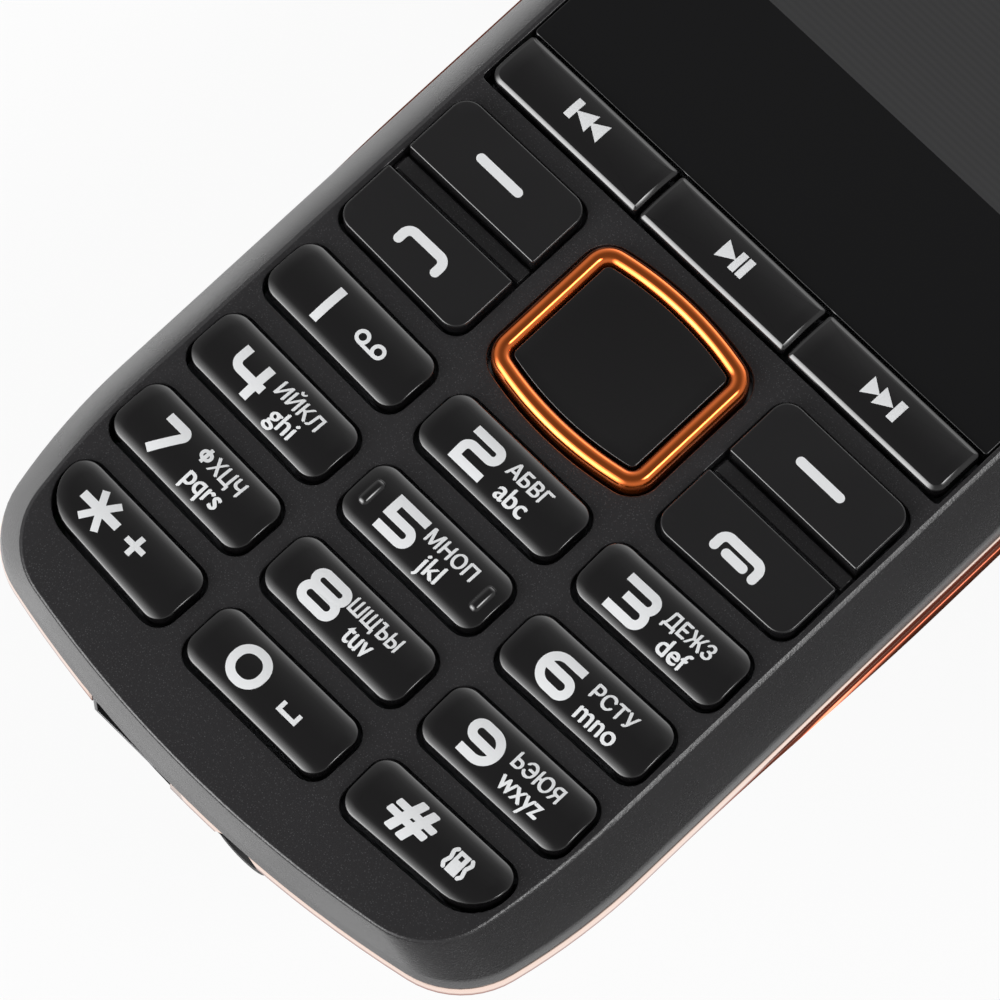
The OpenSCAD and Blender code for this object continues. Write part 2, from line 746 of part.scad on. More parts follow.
// Frame under the ring; the ring rocks on it sideways, and it rocks up and down with the ring
module nav_carrier() {
    color("#55565a") {
        difference() {
            prism(carrier_z, carrier_z + carrier_t) nav_shape(flange_w);
            prism(carrier_z - past, carrier_z + past) nav_shape(slack / 2 - ring_t);
        }
        for (p = nav_places)
            translate([p.x, p.y, post_z]) cylinder(d = ring_t, h = carrier_z + hairline - post_z);
    }
}

module ok_key() {
    half = nav_w / 2 - ring_t;
    dish_r = (half * half + ok_dish * ok_dish) / (2 * ok_dish);
    color("#0d0d0f") {
        difference() {
            prism(carrier_z, face_z + ok_rise) nav_shape(-ring_t - key_gap / 2);
            translate([0, nav_y, face_z + ok_rise + dish_r - ok_dish]) sphere(r = dish_r);
        }
        translate([0, nav_y, post_z]) cylinder(d = post_d, h = carrier_z + overlap - post_z);
    }
}

// Outline of the layers under the keys
module key_field(inset) {
    intersection() {
        polygon(casing(inset));
        translate([-half_w, pad_y - hairline]) square([2 * half_w, lens_y - fit - pad_y]);
    }
}

module keypad_mat() {
    foot = 0.5;
    hollow_top = mat_top - mat_t;
    color("#8f9297") difference() {
        prism(film_top, mat_top) key_field(field_in);
        intersection() {
            prism(film_top - past, hollow_top) polygon(casing(field_in + foot));
            block(0, (pad_y + lens_y) / 2, body_w, lens_y - pad_y - 2 * foot, film_top - past, hollow_top);
        }
        for (p = concat(number_places, func_places, media_places))
            translate([p.x, p.y, film_top]) cylinder(d = post_d + 2 * slack, h = mat_top);
        prism(film_top, mat_top + past) nav_shape(key_gap + flange_w + slack);
    }
}

module dome_sheet() {
    crown_d = 0.6 * dome_d;
    color("#c9ccd1") {
        prism(board_top, film_top) key_field(field_in);
        for (p = concat(number_places, func_places, media_places, [[0, nav_y]]))
            translate([p.x, p.y, board_top]) cylinder(d1 = dome_d, d2 = crown_d, h = film_t + dome_h);
        for (p = nav_places)
            translate([p.x, p.y, board_top]) cylinder(d1 = crown_d, d2 = crown_d / 2, h = film_t + dome_h);
    }
}

module main_board() {
    color("#1f5a3a") difference() {
        prism(board_z, board_top) polygon(casing(board_in));
        jack_room(board_z - past, board_top + past);
        for (p = screw_places)
            translate([p.x, p.y, board_z - past]) cylinder(r = screw_r + 2 * fit, h = board_t + 2 * past);
    }
}

module shield_can() {
    shield_t = 1.5;
    shield_margin = 1;
    shield_l = display_y - lens_y - 2 * shield_margin;
    color("#b9bcc0") block(0, (display_y + lens_y) / 2, display_w, shield_l, board_top, board_top + shield_t);
}

module display_module() {
    color("#26292c") block(0, display_y + display_l / 2, display_w, display_l, board_top, display_top);
}

module display_gasket() {
    color("#151515") difference() {
        block(0, view_y, view_w + 2 * display_border, view_l + 2 * display_border, display_top, seat_z);
        block(0, view_y, view_w + view_margin, view_l + view_margin, display_top - past, seat_z + past);
    }
}

module sim_sockets() {
    color("#c2c4c7") for (s = [-1, 1]) block(s * sim_x, sim_y, sim_w, sim_l, board_z - socket_t, board_z);
}

module memory_card_socket() {
    color("#c2c4c7") block(0, card_y, sim_l, sim_w, board_z - socket_t, board_z);
}

module battery_contacts() {
    finger_w = 1.6;
    finger_pitch = 3;
    finger_z = board_z - contact_t + 0.6;
    finger_t = 0.8;
    color("#d9b25a") {
        block(0, battery_top + slack + contact_l / 2, contact_w, contact_l, board_z - contact_t, board_z);
        for (i = [-1:1])
            block(i * finger_pitch, battery_top + (slack + overlap) / 2, finger_w, slack + overlap - hairline,
                finger_z, finger_z + finger_t);
    }
}

module usb_socket() {
    usb_y = mouth_y + usb_l / 2;
    color("#b8babd") difference() {
        block(usb_x, usb_y, usb_w, usb_l, usb_z, board_z);
        block(usb_x, usb_y - usb_back, usb_w - 2 * usb_wall, usb_l, usb_z + usb_wall, board_z - usb_wall);
    }
}

module usb_tongue() {
    tongue_w = 3.7;
    tongue_t = 0.6;
    tongue_l = usb_l - usb_back - 1;
    color("#1a1a1a")
        block(usb_x, mouth_y + usb_l - usb_back - tongue_l / 2, tongue_w, tongue_l,
            usb_z + usb_h / 2, usb_z + usb_h / 2 + tongue_t);
}

module audio_socket() {
    floor_t = 1;
    collar_l = trim_t + 0.5;
    color("#141414") difference() {
        union() {
            block(jack_x, mouth_y + collar_l + (jack_l - collar_l) / 2, jack_w, jack_l - collar_l,
                jack_z - jack_h / 2, jack_z + jack_h / 2);
            bar_y(jack_x, mouth_y, mouth_y + collar_l + overlap, jack_z, jack_h / 2);
        }
        bar_y(jack_x, mouth_y - past, mouth_y + jack_l - floor_t, jack_z, jack_r);
    }
}

module microphone() {
    mic_w = 3.4;
    mic_l = 1.3;
    mic_t = 1.1;
    color("#b5a27a") block(mic_x, pad_y - mic_l / 2 - 2 * fit, mic_w, mic_l, board_top, board_top + mic_t);
}

module loudspeaker() {
    color("#2e2e31") block(0, speaker_y, speaker_w, speaker_l, plate_z - speaker_t, plate_z);
}

module earpiece() {
    color("#3a3a3d") block(0, ear_y + ear_shift, ear_w, ear_l, board_top, seat_z - mesh_t);
}

module earpiece_mesh() {
    color("#6b6d70") block(0, ear_y + ear_shift, ear_w, ear_l / 2, seat_z - mesh_t, seat_z);
}

module vibration_motor() {
    color("#c7c9cc") {
        bar_x(motor_x, motor_x + motor_l, camera_y, motor_z, motor_r);
        bar_x(motor_x, weight_x + weight_l, camera_y, motor_z, shaft_r);
    }
}

module vibration_weight() {
    flat_z = motor_z + 2 * shaft_r;
    color("#8a8d91") difference() {
        bar_x(weight_x, weight_x + weight_l, camera_y, motor_z, motor_r - hairline);
        block(weight_x + weight_l / 2, camera_y, weight_l + past, 3 * motor_r, flat_z, motor_z + 2 * motor_r);
        bar_x(weight_x - past, weight_x + weight_l + past, camera_y, motor_z, shaft_r + hairline);
    }
}

module camera_module() {
    barrel_r = 0.36 * camera_w;
    color("#202124") {
        block(camera_x, camera_y, camera_w, camera_w, plate_z - camera_t / 2, plate_z);
        translate([camera_x, camera_y, plate_z - camera_t]) cylinder(r = barrel_r, h = camera_t);
    }
}

module camera_window() {
    sunk = 0.15;
    color("#0a0a0c") translate([camera_x, camera_y, sunk])
        cylinder(r = camera_window_r, h = cover_wall - sunk);
}

module antenna() {
    color("#d7d3c8") block(0, antenna_y, antenna_w, antenna_l, plate_z - antenna_t, plate_z);
}

module case_screws() {
    tip_z = board_top + screw_depth - fit;
    color("#8c8f93") for (p = screw_places) {
        translate([p.x, p.y, plate_z - screw_head_h]) cylinder(r = screw_head_r, h = screw_head_h);
        translate([p.x, p.y, plate_z - overlap]) cylinder(r = screw_r, h = tip_z - plate_z + overlap);
    }
}

front_housing();
display_window();
trim_band();
rear_housing();
battery_cover();
battery();
plain_key(-1, 0);  // key_1
plain_key(0, 0);  // key_2
plain_key(1, 0);  // key_3
plain_key(-1, 1);  // key_4
plain_key(0, 1);  // key_5
plain_key(1, 1);  // key_6
plain_key(-1, 2);  // key_7
plain_key(0, 2);  // key_8
plain_key(1, 2);  // key_9
key_star();
plain_key(0, last_row);  // key_0
key_hash();
softkey_left();
softkey_right();
call_key();
end_key();
media_key_previous();
media_key_play();
media_key_next();
nav_ring();
nav_carrier();
ok_key();
keypad_mat();
dome_sheet();
main_board();
shield_can();
display_module();
display_gasket();
sim_sockets();
memory_card_socket();
battery_contacts();
usb_socket();
usb_tongue();
audio_socket();
microphone();
loudspeaker();
earpiece();
earpiece_mesh();
vibration_motor();
vibration_weight();
camera_module();
camera_window();
antenna();
case_screws();
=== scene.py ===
"""Bar-shaped feature phone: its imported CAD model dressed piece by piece, in the order it is put together.
Lengths are in millimetres until a mesh is made."""

import math

import bmesh
import bpy
from mathutils import Matrix, Vector
from mathutils.geometry import delaunay_2d_cdt, intersect_point_tri_2d


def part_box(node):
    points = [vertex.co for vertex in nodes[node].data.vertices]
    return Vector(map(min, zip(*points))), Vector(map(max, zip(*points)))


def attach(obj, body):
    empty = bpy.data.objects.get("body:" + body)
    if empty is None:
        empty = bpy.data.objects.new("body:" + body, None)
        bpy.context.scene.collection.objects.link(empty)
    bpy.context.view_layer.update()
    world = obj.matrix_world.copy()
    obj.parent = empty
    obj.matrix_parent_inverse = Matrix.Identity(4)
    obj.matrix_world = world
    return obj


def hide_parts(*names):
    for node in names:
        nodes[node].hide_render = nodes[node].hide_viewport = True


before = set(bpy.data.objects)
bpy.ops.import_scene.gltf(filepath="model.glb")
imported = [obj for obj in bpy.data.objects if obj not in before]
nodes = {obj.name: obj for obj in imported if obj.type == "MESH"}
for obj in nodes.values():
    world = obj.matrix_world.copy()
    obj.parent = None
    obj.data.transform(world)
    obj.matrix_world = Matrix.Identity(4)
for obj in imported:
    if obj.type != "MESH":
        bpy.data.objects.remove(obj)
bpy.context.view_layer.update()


# Rear housing: the inner frame with the battery bay, which carries the board and takes the screws.
# It is injection-moulded in plain black plastic, with a fine spark-eroded grain on every wall.
MM = 0.001

moulded_grain = bpy.data.node_groups.new("moulded_grain", "ShaderNodeTree")
for way, names in (("INPUT", ("Grain", "Fleck")), ("OUTPUT", ("Height", "Flecks", "Cloud"))):
    for name in names:
        moulded_grain.interface.new_socket(name, in_out=way, socket_type="NodeSocketFloat")


def feed(tree, node, inputs):
    """Give a node's inputs their values, or a link where the value is another node's output."""
    for name, value in inputs.items():
        if isinstance(value, bpy.types.NodeSocket):
            tree.links.new(value, node.inputs[name])
        else:
            node.inputs[name].default_value = value


def add_node(tree, kind, inputs=None, **settings):
    """Add a shader node to a tree, set its properties and feed its inputs."""
    made = tree.nodes.new(kind)
    for name, value in settings.items():
        setattr(made, name, value)
    feed(tree, made, inputs or {})
    return made


cloud_scale, cloud_detail = 140, 4
cloud_low, cloud_high = 0.3, 0.7
coat_rough_share = 0.8
grain_in = add_node(moulded_grain, "NodeGroupInput").outputs
grain_place = add_node(moulded_grain, "ShaderNodeTexCoord").outputs["Object"]
grain_size = {"Vector": grain_place, "Scale": grain_in["Grain"]}
grain_noise = add_node(moulded_grain, "ShaderNodeTexNoise", grain_size)
grain_cells = add_node(moulded_grain, "ShaderNodeTexVoronoi", grain_size).outputs
grain_cloud = add_node(moulded_grain, "ShaderNodeTexNoise",
                       {"Vector": grain_place, "Scale": cloud_scale, "Detail": cloud_detail})
grain_dots = add_node(moulded_grain, "ShaderNodeMapRange",
                      {"Value": grain_cells["Distance"], "From Max": grain_in["Fleck"],
                       "To Min": 1, "To Max": 0})
grain_bright = add_node(moulded_grain, "ShaderNodeMath",
                        {0: grain_dots.outputs["Result"], 1: grain_cells["Color"]}, operation="MULTIPLY")
add_node(moulded_grain, "NodeGroupOutput", {"Height": grain_noise.outputs["Fac"],
                                            "Flecks": grain_bright.outputs["Value"],
                                            "Cloud": grain_cloud.outputs["Fac"]})


def moulded_finish(name, colour, fleck_colour, rough, grain=6000, fleck=0.3, relief=0.004,
                   metallic=0.0, sparkle=0.0, ior=1.5, coat=0.0):
    """A finish with the moulded grain: flecks in its colour, cloudy roughness, fine relief in millimetres.
    Sparkle is how far the flecks shine like metal, coat is the weight of a clear lacquer."""
    material = bpy.data.materials.new(name)
    material.use_nodes = True
    tree = material.node_tree
    shader = tree.nodes["Principled BSDF"]
    texture = add_node(tree, "ShaderNodeGroup", node_tree=moulded_grain)
    feed(tree, texture, {"Grain": grain, "Fleck": fleck})
    look = texture.outputs
    colours = add_node(tree, "ShaderNodeMix", data_type="RGBA",
                       inputs={"Factor": look["Flecks"], "A": (*colour, 1), "B": (*fleck_colour, 1)})
    cloud = add_node(tree, "ShaderNodeMapRange",
                     {"Value": look["Cloud"], "From Min": cloud_low, "From Max": cloud_high,
                      "To Min": rough[0], "To Max": rough[1]})
    bump = add_node(tree, "ShaderNodeBump", {"Height": look["Height"], "Distance": relief * MM})
    feed(tree, shader, {"Base Color": colours.outputs["Result"], "Roughness": cloud.outputs["Result"],
                        "Normal": bump.outputs["Normal"], "Metallic": metallic, "IOR": ior,
                        "Coat Weight": coat, "Coat Roughness": rough[0] * coat_rough_share})
    if sparkle:
        glint = add_node(tree, "ShaderNodeMath", {0: look["Flecks"], 1: sparkle}, operation="MULTIPLY")
        feed(tree, shader, {"Metallic": glint.outputs["Value"]})
    return material


sharp_turn = 40
weld_gap, bevel_steps = 0.001, 2


def dress(names, finish, edge=0.0):
    """Give CAD nodes a finish and, where asked, rounded edges of a radius in millimetres."""
    for name in names:
        piece = nodes[name]
        piece.data.materials.clear()
        piece.data.materials.append(finish)
        if edge:
            piece.modifiers.new("weld", "WELD").merge_threshold = weld_gap * MM
            bevel = piece.modifiers.new("edge", "BEVEL")
            bevel.width = edge * MM
            bevel.segments = bevel_steps
            bevel.angle_limit = math.radians(sharp_turn)
            bevel.harden_normals = True


frame_black = moulded_finish("frame_black", (0.012, 0.012, 0.013), (0.03, 0.03, 0.032), (0.45, 0.6), 4000)
dress(["rear_housing"], frame_black, 0.12)


# Main board with its shield can: a green four-layer board that fills the casing behind the keys.
# Solder mask covers its copper traces, and the can over the radio is drawn from thin tinned steel.
def board_finish():
    """Green solder mask with paler traces and pads under it."""
    material = moulded_finish("board_green", (0.01, 0.06, 0.028), (0.03, 0.13, 0.06), (0.25, 0.4), 2500)
    tree = material.node_tree
    place = add_node(tree, "ShaderNodeTexCoord").outputs["Object"]
    traces = add_node(tree, "ShaderNodeTexBrick",
                      {"Vector": place, "Scale": 260, "Mortar Size": 0.05, "Mortar": (0.05, 0.2, 0.08, 1),
                       "Color1": (0.008, 0.07, 0.03, 1), "Color2": (0.012, 0.09, 0.04, 1)})
    feed(tree, tree.nodes["Principled BSDF"], {"Base Color": traces.outputs["Color"]})
    return material


sheet_steel = moulded_finish("sheet_steel", (0.56, 0.57, 0.59), (0.75, 0.75, 0.76), (0.25, 0.42),
                             3000, 0.2, 0.002, metallic=1.0)
dress(["main_board"], board_finish(), 0.05)
dress(["shield_can"], sheet_steel, 0.3)


# Card sockets, battery contacts and the two sockets in the lower end, all soldered to the board.
# Their shells are folded from tinned steel, the spring fingers are gold plated, the bodies black plastic.
contact_gold = moulded_finish("contact_gold", (0.78, 0.55, 0.2), (0.9, 0.72, 0.4), (0.2, 0.32),
                              4000, 0.2, 0.001, metallic=1.0)
dress(["sim_sockets", "memory_card_socket"], sheet_steel, 0.15)
dress(["battery_contacts"], contact_gold, 0.1)
socket_steel = moulded_finish("socket_steel", (0.14, 0.14, 0.145), (0.2, 0.2, 0.2), (0.3, 0.42),
                              3000, 0.2, 0.002, metallic=1.0)
dress(["usb_socket"], socket_steel, 0.06)
dress(["usb_tongue"], frame_black, 0.05)
dress(["audio_socket"], frame_black, 0.1)


# Sound parts and vibration motor: microphone, earpiece with its mesh, loudspeaker, and a small motor.
# They drop into pockets; the motor shakes the phone by spinning a half-round steel weight on its shaft.
def mesh_finish():
    """Woven steel mesh, dark in its holes."""
    material = moulded_finish("mesh_steel", (0.3, 0.3, 0.31), (0.5, 0.5, 0.5), (0.3, 0.45),
                              4000, 0.2, 0.002, metallic=1.0)
    tree = material.node_tree
    place = add_node(tree, "ShaderNodeTexCoord").outputs["Object"]
    weave = add_node(tree, "ShaderNodeTexChecker",
                     {"Vector": place, "Scale": 7000,
                      "Color1": (0.36, 0.36, 0.37, 1), "Color2": (0.02, 0.02, 0.02, 1)})
    feed(tree, tree.nodes["Principled BSDF"], {"Base Color": weave.outputs["Color"]})
    return material


dress(["microphone"], contact_gold, 0.1)
dress(["loudspeaker", "earpiece"], frame_black, 0.25)
dress(["earpiece_mesh"], mesh_finish())
dress(["vibration_motor", "vibration_weight"], sheet_steel, 0.1)


# Camera module and antenna: the camera looks out through the back, the antenna fills the upper end.
# The antenna is a pale plastic carrier whose folded copper pattern is pressed on with heat.
antenna_plastic = moulded_finish("antenna_plastic", (0.6, 0.56, 0.47), (0.7, 0.66, 0.57), (0.45, 0.6), 3000)
dress(["camera_module"], frame_black, 0.15)
dress(["antenna"], antenna_plastic, 0.3)


# Display module with its foam gasket: a thin glass cell in a metal tray, taped on the board.
# The foam presses against the window's seat and keeps dust off the picture.
display_glass = moulded_finish("display_glass", (0.02, 0.021, 0.023), (0.03, 0.03, 0.032), (0.1, 0.2),
                               8000, 0.2, 0.001)
foam_black = moulded_finish("foam_black", (0.012, 0.012, 0.012), (0.03, 0.03, 0.03), (0.8, 0.95),
                            5000, 0.4, 0.03)
dress(["display_module"], display_glass, 0.2)
dress(["display_gasket"], foam_black)


# Keypad mat, domes and the ring's carrier: grey silicone over a film of snap domes on the board.
# Each key's plunger passes through the mat and presses one dome, which springs it back.
silicone_grey = moulded_finish("silicone_grey", (0.26, 0.27, 0.29), (0.32, 0.33, 0.35), (0.55, 0.7), 3000)
dress(["keypad_mat"], silicone_grey, 0.1)
dress(["dome_sheet", "nav_carrier"], sheet_steel)


# Front housing: the matte black shell that holds the window and frames every key.
# It is moulded in one piece with a speckled grain; its sides slope out to the trim band.
half_w, half_l, face_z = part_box("front_housing")[1] / MM
trim_low, trim_high = [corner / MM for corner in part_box("trim_band")]
trim_z, trim_top = trim_low.z, trim_high.z
skirt_in = 0.15
shell_w = half_w - skirt_in
side_inset, end_inset = 2.8, 0.4
bend_l, end_arc_r = 17.0, 85.0
bend_r, corner_r = (46.0, 67.0), (6.3, 5.8)
side_lean, side_slope = 0.85, 3.0
full_to, straight_from = 43.0, 52.0
edge_round, edge_steps = 0.18, (0.12, 0.88, 1)
slope_steps = 14
skirt_drop, skirt_lean, skirt_fold = 0.98, 0.1, 1.0
skirt_z = trim_top - skirt_drop
rim_round, rim_depth = 0.1, 1.2
flange_w, key_gap = 0.3, 0.25
row_arc_r = 500.0
func_r = 1.4
nav_corner, nav_bulge_r = 1.95, 25.75
strip_depth = 0.5
glass_gap = 0.1


def mix(a, b, t):
    """The value t of the way from a to b."""
    return a + (b - a) * t


def arc(middle, r, start, end, steps):
    """Points along an arc between two angles in radians, without the first one."""
    turns = [mix(start, end, i / steps) for i in range(1, steps + 1)]
    return [(middle.x + r * math.cos(t), middle.y + r * math.sin(t)) for t in turns]


def casing_loop(w, l, side_r, turn_r):
    """Closed outline of the casing: straight sides that bend in to round corners and shallow curved ends."""
    side, end = Vector((w - side_r, bend_l - l)), Vector((0, end_arc_r - l))
    apart = (end - side).length
    p, q = side_r - turn_r, end_arc_r - turn_r
    along = (apart * apart + p * p - q * q) / (2 * apart)
    towards = (end - side) / apart
    turn = side + towards * along + Vector((towards.y, -towards.x)) * math.sqrt(p * p - along * along)
    a = math.atan2(turn.y - side.y, turn.x - side.x)
    b = math.atan2(turn.y - end.y, turn.x - end.x)
    quarter = [(w, bend_l - l), *arc(side, side_r, 0, a, 8), *arc(turn, turn_r, a, b, 10)]
    quarter += arc(end, end_arc_r, b, -math.pi / 2, 10)
    lower = quarter + [(-x, y) for x, y in reversed(quarter[:-1])]
    return list(reversed(lower + [(-x, -y) for x, y in lower]))


def fillet(a, p, b, r, steps=8):
    """Points of the arc that rounds the corner p between its neighbours a and b."""
    a, p, b = Vector(a[:2]), Vector(p[:2]), Vector(b[:2])
    if not r:
        return [tuple(p)]
    to_a, to_b = (a - p).normalized(), (b - p).normalized()
    half = to_a.angle(to_b) / 2
    middle = p + (to_a + to_b).normalized() * (r / math.sin(half))
    arm = p + to_a * (r / math.tan(half)) - middle
    turn = math.copysign(math.pi - 2 * half, to_b.cross(to_a))
    return [tuple(middle + Matrix.Rotation(turn * i / steps, 2) @ arm) for i in range(steps + 1)]


def rounded(points, radii):
    """Closed loop of a polygon with each corner rounded by its own radius."""
    ahead = points[1:] + points[:1]
    corners = [fillet(points[i - 1], p, ahead[i], radii[i]) for i, p in enumerate(points)]
    return [p for corner in corners for p in corner]


def box_corners(x0, y0, x1, y1):
    """The corners of a rectangle, counter-clockwise."""
    return [(x0, y0), (x1, y0), (x1, y1), (x0, y1)]


def mirrored(loop):
    """A loop mirrored from left to right, kept counter-clockwise."""
    return [(-x, y) for x, y in reversed(loop)]


def dense(loop, step):
    """A closed loop with points added where its edges are longer than a step."""
    filled = []
    for p, q in zip(loop, loop[1:] + loop[:1]):
        count = max(1, math.ceil(math.dist(p, q) / step))
        filled += [(mix(p[0], q[0], i / count), mix(p[1], q[1], i / count)) for i in range(count)]
    return filled


def offset(loop, d):
    """A closed counter-clockwise loop moved outwards by d."""
    moved = []
    for i, p in enumerate(loop):
        a, b = loop[i - 1], loop[(i + 1) % len(loop)]
        n = Vector((p[1] - a[1], a[0] - p[0])).normalized()
        m = Vector((b[1] - p[1], p[0] - b[0])).normalized()
        out = (n + m) / (1 + n.dot(m))
        moved.append((p[0] + out.x * d, p[1] + out.y * d))
    return moved


def loft(bm, rings, closed=False):
    """Join rings of points with quads, the last one to the first where closed; give back their vertices."""
    made = [[bm.verts.new(p) for p in ring] for ring in rings]
    for lower, upper in zip(made, made[1:] + (made[:1] if closed else [])):
        for i in range(len(lower)):
            bm.faces.new((lower[i - 1], lower[i], upper[i], upper[i - 1]))
    return made


def ring_edges(bm, ring):
    """The edges along a closed ring of vertices."""
    return [bm.edges.get((ring[i - 1], v)) or bm.edges.new((ring[i - 1], v)) for i, v in enumerate(ring)]


def fill(bm, rings):
    """Fill a flat ring of vertices, leaving the other rings as holes in it."""
    edges = [e for ring in rings for e in ring_edges(bm, ring)]
    bmesh.ops.triangle_fill(bm, use_beauty=True, edges=edges, normal=(0, 0, 1))


def bezier(a, b, c, t):
    """Point on the curve from a to c that is drawn towards b."""
    return [mix(mix(p, q, t), mix(q, r, t), t) for p, q, r in zip(a, b, c)]


def mesh_object(name, bm):
    """Turn a mesh drawn in millimetres into an object in metres."""
    bmesh.ops.scale(bm, vec=(MM, MM, MM), verts=bm.verts)
    bmesh.ops.recalc_face_normals(bm, faces=bm.faces)
    mesh = bpy.data.meshes.new(name)
    bm.to_mesh(mesh)
    bm.free()
    made = bpy.data.objects.new(name, mesh)
    bpy.context.scene.collection.objects.link(made)
    return made


def make_piece(name, bm, finish, body, *replaced, place=None, sharp=sharp_turn, like=None):
    """Turn a mesh drawn in millimetres into a piece that rides on a body and stands for CAD nodes.
    A piece that stands for none may name a node that it is like; this argument is not used."""
    if place:
        bmesh.ops.transform(bm, matrix=place, verts=bm.verts)
    piece = mesh_object(name, bm)
    piece.data.materials.append(finish)
    piece.data.shade_smooth()
    piece.data.set_sharp_from_angle(angle=math.radians(sharp))
    piece.modifiers.new("even shading", "WEIGHTED_NORMAL").keep_sharp = True
    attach(piece, body)
    if replaced:
        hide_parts(*replaced)
    return piece


def opening(node):
    """The rectangle of a key's opening, which lies inside the key's hidden lip."""
    low, high = [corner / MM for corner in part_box(node)]
    return [low.x + flange_w, low.y + flange_w, high.x - flange_w, high.y - flange_w]


def key_middle(node):
    """Middle of a key's opening."""
    x0, y0, x1, y1 = opening(node)
    return Vector(((x0 + x1) / 2, (y0 + y1) / 2))


key_x0, key_y0, key_x1, key_y1 = opening("key_2")
key_w, key_h = key_x1 - key_x0, key_y1 - key_y0
key_r, star_corner_r, star_step, star_rise = 1.5, 3.2, 0.5, 0.45
row_pitch = key_middle("key_2").y - key_middle("key_5").y
number_keys = ["key_1", "key_2", "key_3", "key_4", "key_5", "key_6", "key_7", "key_8", "key_9",
               "key_star", "key_0", "key_hash"]


def key_place(index):
    """Middle and turn of a number key, counted from the upper left; the rows follow a shallow arc."""
    col, row = index % 3 - 1, index // 3
    column = key_middle(number_keys[index % 3])
    angle = col * math.asin(key_middle("key_3").x / row_arc_r)
    return Matrix.Translation((column.x, column.y - row * row_pitch, 0)) @ Matrix.Rotation(angle, 4, "Z")


def key_opening(index, lift=0.0):
    """Outline of a number key's opening about its own middle, its lower edge lifted where asked."""
    x, y = key_w / 2, key_h / 2
    if number_keys[index] in ("key_star", "key_hash"):
        corners = [(star_step - x, star_rise + lift - y), (x, lift - y), (x, y), (star_step - x, y)]
        star = rounded(corners, [star_corner_r, key_r, key_r, key_r])
        return star if number_keys[index] == "key_star" else mirrored(star)
    return rounded(box_corners(-x, lift - y, x, y), [key_r] * 4)


soft = opening("softkey_left")
call = opening("call_key")
pad_half = -soft[0]
func_w = soft[2] - soft[0]
call_slant = func_w / 2 * math.tan(math.asin(key_middle("key_3").x / row_arc_r))
call_top, soft_y = call[3], soft[1]
func_corners = [(soft[0], call[1] + 2 * call_slant), (soft[2], call[1]),
                (soft[2], soft[3]), (soft[0], soft[3])]
func_loop = rounded(func_corners, [func_r] * 4)

ring_low, ring_high = [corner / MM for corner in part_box("nav_ring")]
nav_y = (ring_low.y + ring_high.y) / 2
nav_half = (ring_high - ring_low) / 2 - Vector((1, 1, 0)) * (flange_w + key_gap)


def nav_outline():
    """Outline of the navigation ring: upright sides, bulging upper and lower sides, round corners."""
    bulge = Vector((0, nav_half.y - nav_bulge_r))
    across = nav_half.x - nav_corner
    turn = Vector((across, bulge.y + math.sqrt((nav_bulge_r - nav_corner) ** 2 - across * across)))
    meet = math.atan2(turn.y - bulge.y, turn.x - bulge.x)
    quarter = arc(turn, nav_corner, 0, meet, 10) + arc(bulge, nav_bulge_r, meet, math.pi / 2, 10)
    quarter = [(nav_half.x, turn.y)] + quarter
    upper = quarter + [(-x, y) for x, y in reversed(quarter[:-1])]
    return [(x, y + nav_y) for x, y in upper + [(-x, -y) for x, y in upper]]


nav_loop = nav_outline()
window_low, window_high = [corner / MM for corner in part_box("display_window")]
window_foot_r, window_top_r = 0.3, 0.5
media_y = opening("media_key_play")[1]


def window_loop(foot, top, grow):
    """Outline of the window's field: its long edges follow the face's bend up to a straight upper edge."""
    w, bend_y = pad_half + grow, half_l - end_inset - bend_l
    middle = Vector((w - bend_r[1], bend_y))
    end = math.asin((top - bend_y) / bend_r[1])
    side = [(w, foot)] + [(w, bend_y)] + arc(middle, bend_r[1], 0, end, 12)
    lower = fillet((0, foot), side[0], side[1], window_foot_r, 4)
    upper = fillet(side[-2], side[-1], (0, top), window_top_r, 4)
    side = lower + side[1:-1] + upper
    return side + [(-x, y) for x, y in reversed(side)]


def ease(value, low, high):
    """A smooth step from 0 at low to 1 at high."""
    t = min(1.0, max(0.0, (value - low) / (high - low)))
    return t * t * (3 - 2 * t)


def slope_ring(f):
    """Ring around the housing at a share f of its sloped side's height.
    The long sides are full and bend over near the face; the corners and ends rise straight."""
    full = side_lean * f + (1 - side_lean) * f ** side_slope
    z = mix(trim_top, face_z, f)
    reach = half_l - mix(skirt_lean, end_inset, f)
    sides, ends = [casing_loop(shell_w - mix(skirt_lean, side_inset, t), reach,
                               mix(*bend_r, t), mix(*corner_r, t)) for t in (full, f)]
    shares = [ease(abs(p[1]), full_to, straight_from) for p in sides]
    return [(mix(p[0], q[0], t), mix(p[1], q[1], t), z) for p, q, t in zip(sides, ends, shares)]


def stacked(loop, steps, z):
    """Rings of a loop moved outwards and up by steps, counted from a height z."""
    return [[(x, y, z + rise) for x, y in offset(loop, out)] for out, rise in steps]


def rim_rings(loop):
    """Rings of an opening in the face: a small rounded rim, then the wall down."""
    rim = [(rim_round * (1 - t) ** 2, -rim_round * t * t) for t in (0, 0.33, 0.67, 1)]
    return stacked(loop, rim + [(0, -rim_depth)], face_z)


